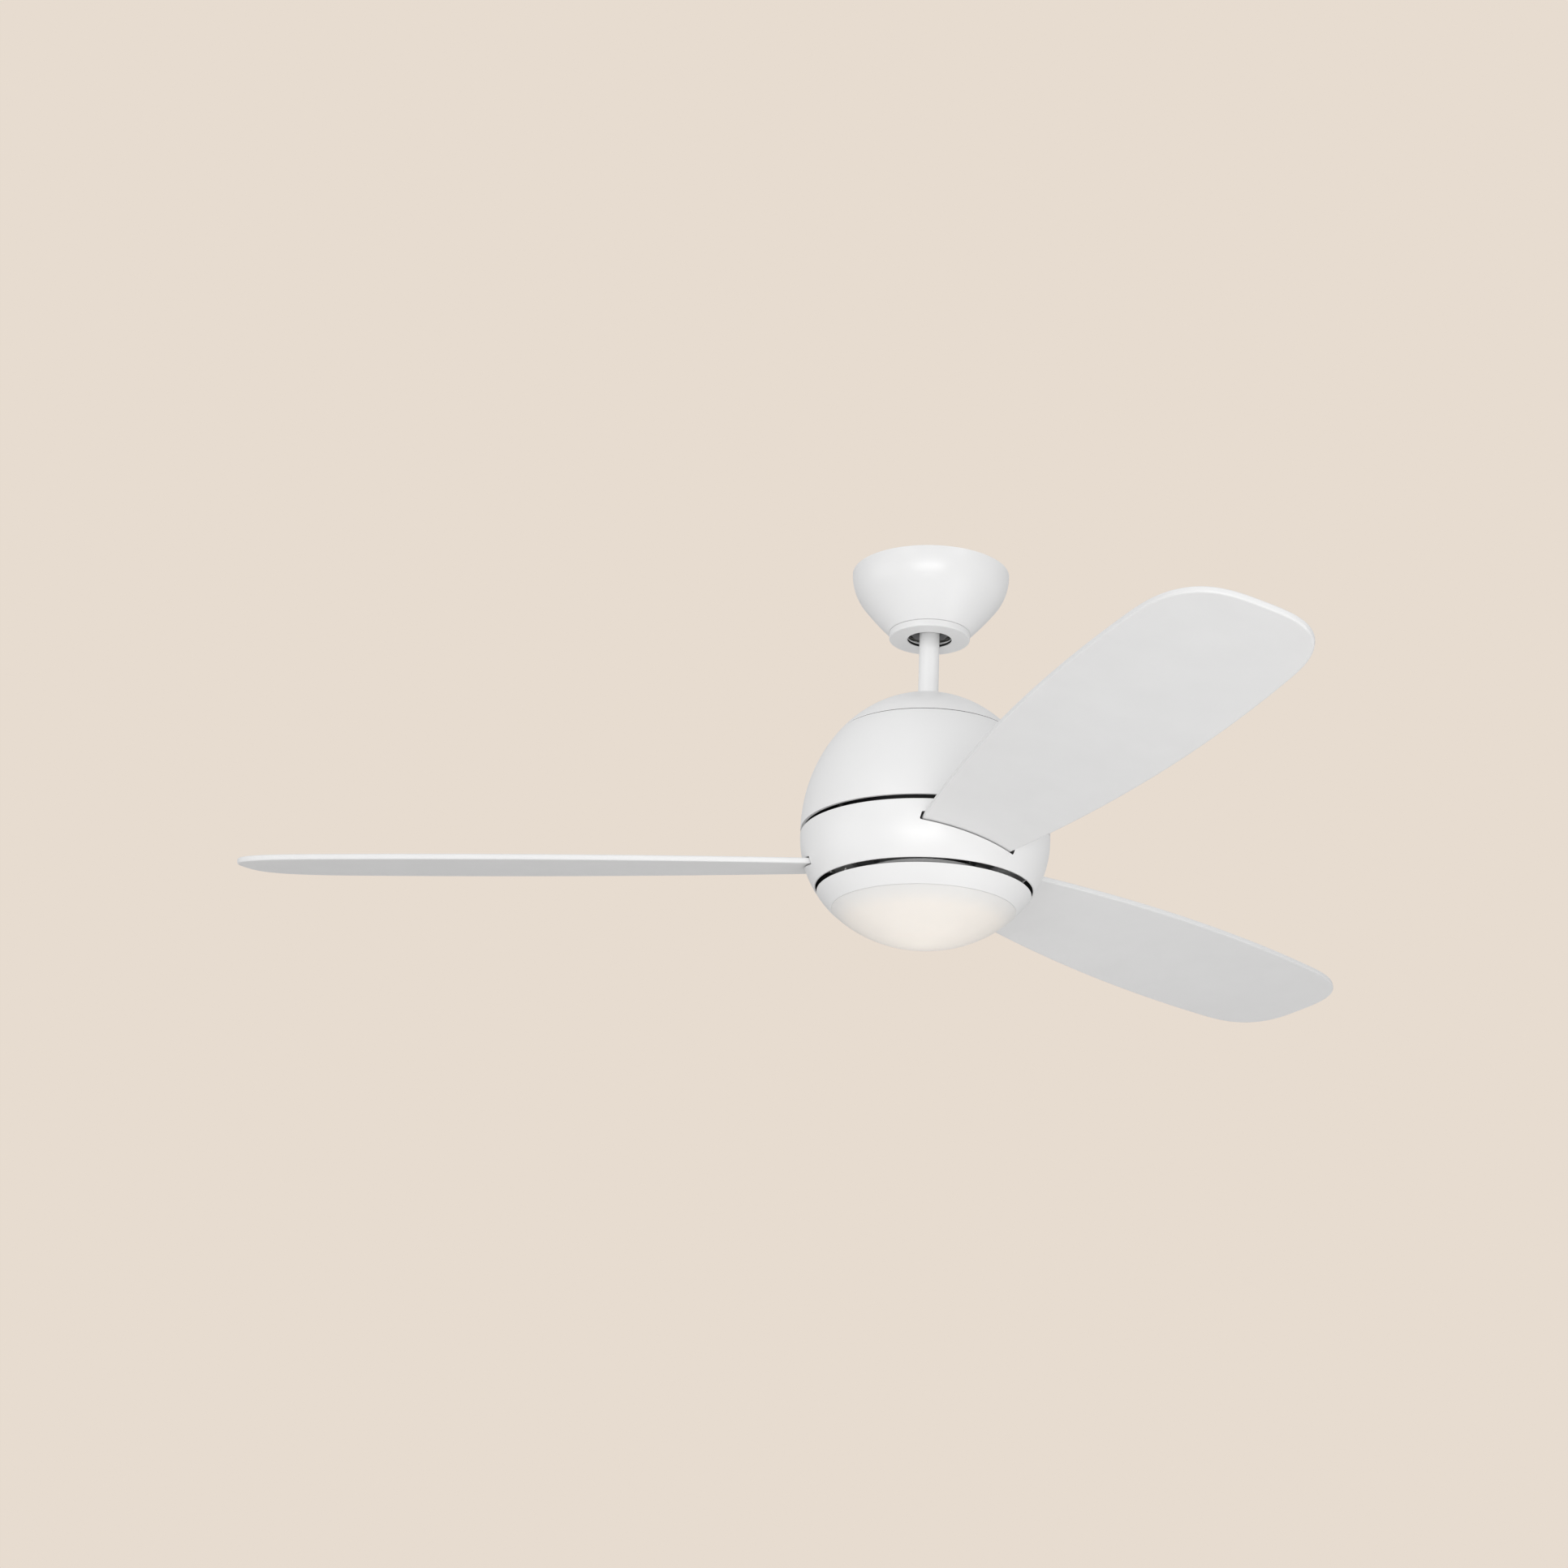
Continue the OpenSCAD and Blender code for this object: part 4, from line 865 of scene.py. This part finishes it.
def blade_mesh(edge=1.5, inset=6.0, across=10):
    """Paddle with rounded edges: rings that follow the outline, then strips across both faces."""
    root, tip = 64.0, SWEEP_R - TIP_L
    stations = [root + (tip - root) * i / 44 for i in range(44)]
    stations += [tip + TIP_L * math.sin(math.radians(90 * i / 48)) for i in range(49)]
    side = [Vector((u, blade_edge(u))) for u in stations]
    side[-1].y = 0.0
    normals = []
    for i, p in enumerate(side):
        if i == len(side) - 1:
            normals.append(Vector((1, 0)))
            continue
        q = side[i + 1] - side[i - 1] if i else side[1] - side[0]
        normals.append(Vector((-q.y, q.x)).normalized())
    normals[0] = Vector((-1, 0)) + normals[0]
    levels = [(inset, 0.0), (edge + 0.6, 0.0)]
    levels += [(edge - edge * math.sin(math.radians(t)), edge - edge * math.cos(math.radians(t))) for t in
               (0, 22, 45, 68, 90)]
    levels += [(d, BLADE_T - z) for d, z in reversed(levels)]
    verts, faces, rings = [], [], []
    n = len(side)
    for d, z in levels:
        ring = []
        for p, m in zip(side, normals):
            q = p - m * d
            ring.append((q.x, q.y, z))
        ring += [(x, -y, z) for x, y, z in ring[-2::-1]]
        ring[n - 1] = (ring[n - 1][0], 0.0, z)
        rings.append(list(range(len(verts), len(verts) + len(ring))))
        verts += ring
    for a, b in zip(rings, rings[1:]):
        m = len(a)
        for k in range(m):
            faces.append((a[k], a[(k + 1) % m], b[(k + 1) % m], b[k]))
    for ring in (rings[0], rings[-1]):
        rows = []
        for i in range(n):
            a, b = ring[i], ring[len(ring) - 1 - i]
            if a == b:
                rows.append([a] * (across + 1))
                continue
            row = [a]
            for j in range(1, across):
                row.append(len(verts))
                verts.append(tuple(Vector(verts[a]).lerp(Vector(verts[b]), j / across)))
            rows.append(row + [b])
        for p, q in zip(rows, rows[1:]):
            for j in range(across):
                face = [p[j], p[j + 1], q[j + 1], q[j]]
                face = [v for k, v in enumerate(face) if v != face[k - 1]]
                if len(face) >= 3:
                    faces.append(tuple(face))
    return verts, faces


def build_blades():
    for i in range(3):
        obj = make(f"blade_{i + 1}_paddle", [moved(blade_mesh(), at_blade(i))], "blade_paint",
                   "rotor", [f"blade_{i + 1}"], sharp=60)
        holes = [moved(prism(circle(x, y, 2.3), -1, BLADE_T + 1, CUT_EDGE), at_blade(i))
                 for x, y in BLADE_SCREW_AT]
        cut(obj, holes, 60)


# ---------------------------------------------------------------- light

PAN_SCREW_AT, TRAY_SCREW_AT = 48, 66  # radii of the screw circles
APRON_IN_R, APRON_R, APRON_TOP = 58.4, 60, -301.9
PAN_HOLE_R, PAN_WEB_TOP, PAN_WEB_LOW = 82.2, -318.0, -319.6
NOTCH_IN_R, NOTCH_OUT_R, NOTCH_WIDTH, LENS_TURN = 81.2, 84.3, 16, 20
LUG_IN_R, LUG_R, LUG_WIDTH = 80.9, 83.9, 12
LENS_RIM_IN_R, LENS_RIM_R, LENS_WALL = 79.5, 81.7, 2.2

def build_pan():
    a, b, mid = BODY_R, LOWER_H, LOWER_MID
    outer = arc(a, b, mid, level(b, mid, PAN_TOP), level(b, mid, PAN_LOW), 24)
    lip_top = PAN_LOW + 2.6
    inner = arc(a - SHELL, b - SHELL, mid, level(b - SHELL, mid, lip_top),
                level(b - SHELL, mid, PAN_WEB_LOW), 16)
    points = [(*outer[0], 0.5)] + outer[1:-1]
    points += [(*outer[-1], 0.35), (PAN_HOLE_R, PAN_LOW, 0.3), (PAN_HOLE_R, lip_top, 0.3)]
    points += [(*inner[0], 0.3)] + inner[1:-1] + [(*inner[-1], 0.3)]
    points += [(17, PAN_WEB_LOW, 0.3), (17, PAN_WEB_TOP, 0.3), (APRON_IN_R, PAN_WEB_TOP, 0.3),
               (APRON_IN_R, APRON_TOP, 0.5), (APRON_R, APRON_TOP, 0.5), (APRON_R, PAN_WEB_TOP, 0.5),
               (outer[0][0] - 1.4, PAN_WEB_TOP, 0.2)]
    obj = make("light_pan_shell", [lathe(rounded(points, 4), 288)], "housing_paint",
               "hanging_part", ["light_pan"])
    cutters = around(PAN_SCREW_AT, 2.1, (30, 150, 270), -325, -310)
    cutters += around(TRAY_SCREW_AT, 1.6, (90, 210, 330), -325, -310)
    for third in THIRDS:
        box = [(NOTCH_IN_R, PAN_LOW - 1), (NOTCH_OUT_R, PAN_LOW - 1), (NOTCH_OUT_R, lip_top + 0.3),
               (NOTCH_IN_R, lip_top + 0.3)]
        cutters.append(lathe(box, 16, third + LENS_TURN - NOTCH_WIDTH / 2, NOTCH_WIDTH))
    cut(obj, cutters)
    coat_inside(obj, "inner_white", lambda c, n: math.hypot(c.x, c.y) > APRON_R + 0.5
                and c.z > PAN_WEB_TOP - 0.4 and n.z > 0.5)


def build_lens():
    a, b, mid = BODY_R - 0.3, LOWER_H - 0.3, LOWER_MID
    top = PAN_LOW - 0.08
    outer = arc(a, b, mid, level(b, mid, top), -90, 72)
    low_z = top - LENS_WALL
    inner = arc(a - LENS_WALL, b - LENS_WALL, mid, -90, level(b - LENS_WALL, mid, low_z), 72)
    outer[-1] = (0.0, outer[-1][1])
    inner[0] = (0.0, inner[0][1])
    points = [(*outer[0], 0.15)] + outer[1:] + inner[:-1] + [(*inner[-1], 0.5)]
    points += [(LENS_RIM_IN_R, low_z, 0.3), (LENS_RIM_IN_R, LENS_TOP, 0.5), (LENS_RIM_R, LENS_TOP, 0.5),
               (LENS_RIM_R, top, 0.3)]
    parts = [lathe(rounded(points, 5), 256)]
    lug_low, lug_top = PAN_LOW + 2.9, PAN_LOW + 5.2
    lug = rounded([(LUG_IN_R, lug_low), (LUG_R, lug_low, 0.5), (LUG_R, lug_top, 0.5),
                   (LUG_IN_R, lug_top)], 3)
    for third in THIRDS:
        parts.append(lathe(lug, 12, third - LUG_WIDTH / 2, LUG_WIDTH))
    make("lens_dome_shell", parts, "opal", "lens_dome", ["lens"])


# ---------------------------------------------------------------- build

for build in (build_canopy, build_ring, build_ball, build_rod, build_bracket, build_receiver,
              build_wiring, build_lead_plugs, build_cap, build_upper_housing, build_band, build_blades,
              build_pan, build_lens):
    build()

# ---------------------------------------------------------------- materials of the CAD nodes

SLOT_OF = {s["node"]: s["material_slot"] for s in frame["record"]["subparts"]}
# the rotor covers take the near-black painted shade; the other nodes here keep their own finishes
SPECIAL = {"stator_core": "laminations", "magnets": "dark_steel", "rotor_upper_cover": "shade_black_cast",
           "rotor_lower_cover": "shade_black_cast"}
for node, obj in frame["nodes"].items():
    material = MAT[SPECIAL.get(node, SLOT_OF[node])]
    for i in range(len(obj.material_slots)):
        obj.material_slots[i].link = "OBJECT"
        obj.material_slots[i].material = material

# ---------------------------------------------------------------- stage, light and camera

FLOOR_Z = -2.4
LIGHT_TARGET = Vector((0, 0, -0.25))


def build_floor():
    """Round pale floor, far wider than the fan."""
    n, radii = 96, (1.0, 4.0, 10.0, 24.0)
    verts = [(0.0, 0.0, 0.0)]
    verts += [(r * math.cos(TAU * k / n), r * math.sin(TAU * k / n), 0.0) for r in radii for k in range(n)]
    faces = [(0, 1 + k, 1 + (k + 1) % n) for k in range(n)]
    for i in range(len(radii) - 1):
        a = 1 + i * n
        faces += [(a + k, a + n + k, a + n + (k + 1) % n, a + (k + 1) % n) for k in range(n)]
    mesh = bpy.data.meshes.new("floor")
    mesh.from_pydata(verts, [], faces)
    obj = bpy.data.objects.new("floor", mesh)
    obj.location = (0, 0, FLOOR_Z)
    bpy.context.scene.collection.objects.link(obj)
    m = Nodes("floor_paint")
    cloud = m.noise(1.5, 3.0)
    colours = m.ramp(cloud.outputs["Fac"], [(0.3, (0.61, 0.605, 0.60)), (0.7, (0.64, 0.635, 0.63))])
    m.link(colours, 0, m.shader, "Base Color")
    m.set(Roughness=0.8)
    obj.data.materials.append(m.material)


def area_light(name, azimuth, elevation, distance, size, power):
    """Soft box that looks at the fan from an azimuth (0 = from -Y) and an elevation, in degrees."""
    az, el = math.radians(azimuth), math.radians(elevation)
    direction = Vector((math.sin(az) * math.cos(el), -math.cos(az) * math.cos(el), math.sin(el)))
    light = bpy.data.lights.new(name, "AREA")
    light.shape = "RECTANGLE"
    light.size, light.size_y = size
    light.energy = power
    obj = bpy.data.objects.new(name, light)
    obj.location = LIGHT_TARGET + direction * distance
    obj.rotation_euler = (-direction).to_track_quat("-Z", "Y").to_euler()
    bpy.context.scene.collection.objects.link(obj)


def build_world():
    """Neutral light, brighter from above, over a warm pale backdrop that only the camera sees."""
    world = bpy.data.worlds.new("studio")
    world.use_nodes = True
    tree = world.node_tree
    tree.nodes.clear()
    out = tree.nodes.new("ShaderNodeOutputWorld")
    mix = tree.nodes.new("ShaderNodeMixShader")
    path = tree.nodes.new("ShaderNodeLightPath")
    ambient = tree.nodes.new("ShaderNodeBackground")
    backdrop = tree.nodes.new("ShaderNodeBackground")
    ambient.inputs[0].default_value = (1.0, 1.0, 1.0, 1)
    coord = tree.nodes.new("ShaderNodeTexCoord")
    split = tree.nodes.new("ShaderNodeSeparateXYZ")
    height = tree.nodes.new("ShaderNodeMapRange")
    for name, value in (("From Min", 0.0), ("From Max", 1.0), ("To Min", 0.42), ("To Max", 0.95)):
        height.inputs[name].default_value = value
    tree.links.new(coord.outputs["Generated"], split.inputs[0])
    tree.links.new(split.outputs["Z"], height.inputs["Value"])
    tree.links.new(height.outputs[0], ambient.inputs[1])
    backdrop.inputs[0].default_value = (0.80, 0.715, 0.63, 1)
    backdrop.inputs[1].default_value = 1.0
    tree.links.new(path.outputs["Is Camera Ray"], mix.inputs[0])
    tree.links.new(ambient.outputs[0], mix.inputs[1])
    tree.links.new(backdrop.outputs[0], mix.inputs[2])
    tree.links.new(mix.outputs[0], out.inputs[0])
    bpy.context.scene.world = world


def build_camera():
    """Camera a little below the light, looking up at the fan."""
    position = Vector((0, -2.7544, -1.1645))
    pitch, yaw, roll = (math.radians(v) for v in (19.03, -2.759, 2.194))
    forward = Vector((math.sin(yaw) * math.cos(pitch), math.cos(yaw) * math.cos(pitch), math.sin(pitch)))
    right = Vector((math.cos(yaw), -math.sin(yaw), 0))
    up = right.cross(forward)
    side = right * math.cos(roll) + up * math.sin(roll)
    top = up * math.cos(roll) - right * math.sin(roll)
    data = bpy.data.cameras.new("camera")
    data.lens = 71.66
    data.sensor_width = 36.0
    data.clip_end = 60.0
    obj = bpy.data.objects.new("camera", data)
    matrix = Matrix((side, top, -forward)).transposed().to_4x4()
    matrix.translation = position
    obj.matrix_world = matrix
    bpy.context.scene.collection.objects.link(obj)
    bpy.context.scene.camera = obj


build_floor()
build_world()
area_light("key_left", -32, 20, 3.4, (0.6, 0.4), 4)
area_light("key_right", 42, 20, 3.4, (0.5, 0.3), 6)
area_light("front_fill", -3, -18, 4.2, (3.0, 0.5), 69)
area_light("left_wash", -78, -6, 3.2, (2.0, 1.6), 13.5)
area_light("low_right", 62, -48, 2.2, (1.4, 1.4), 9.5)
build_camera()

bpy.context.scene.view_settings.view_transform = "Standard"
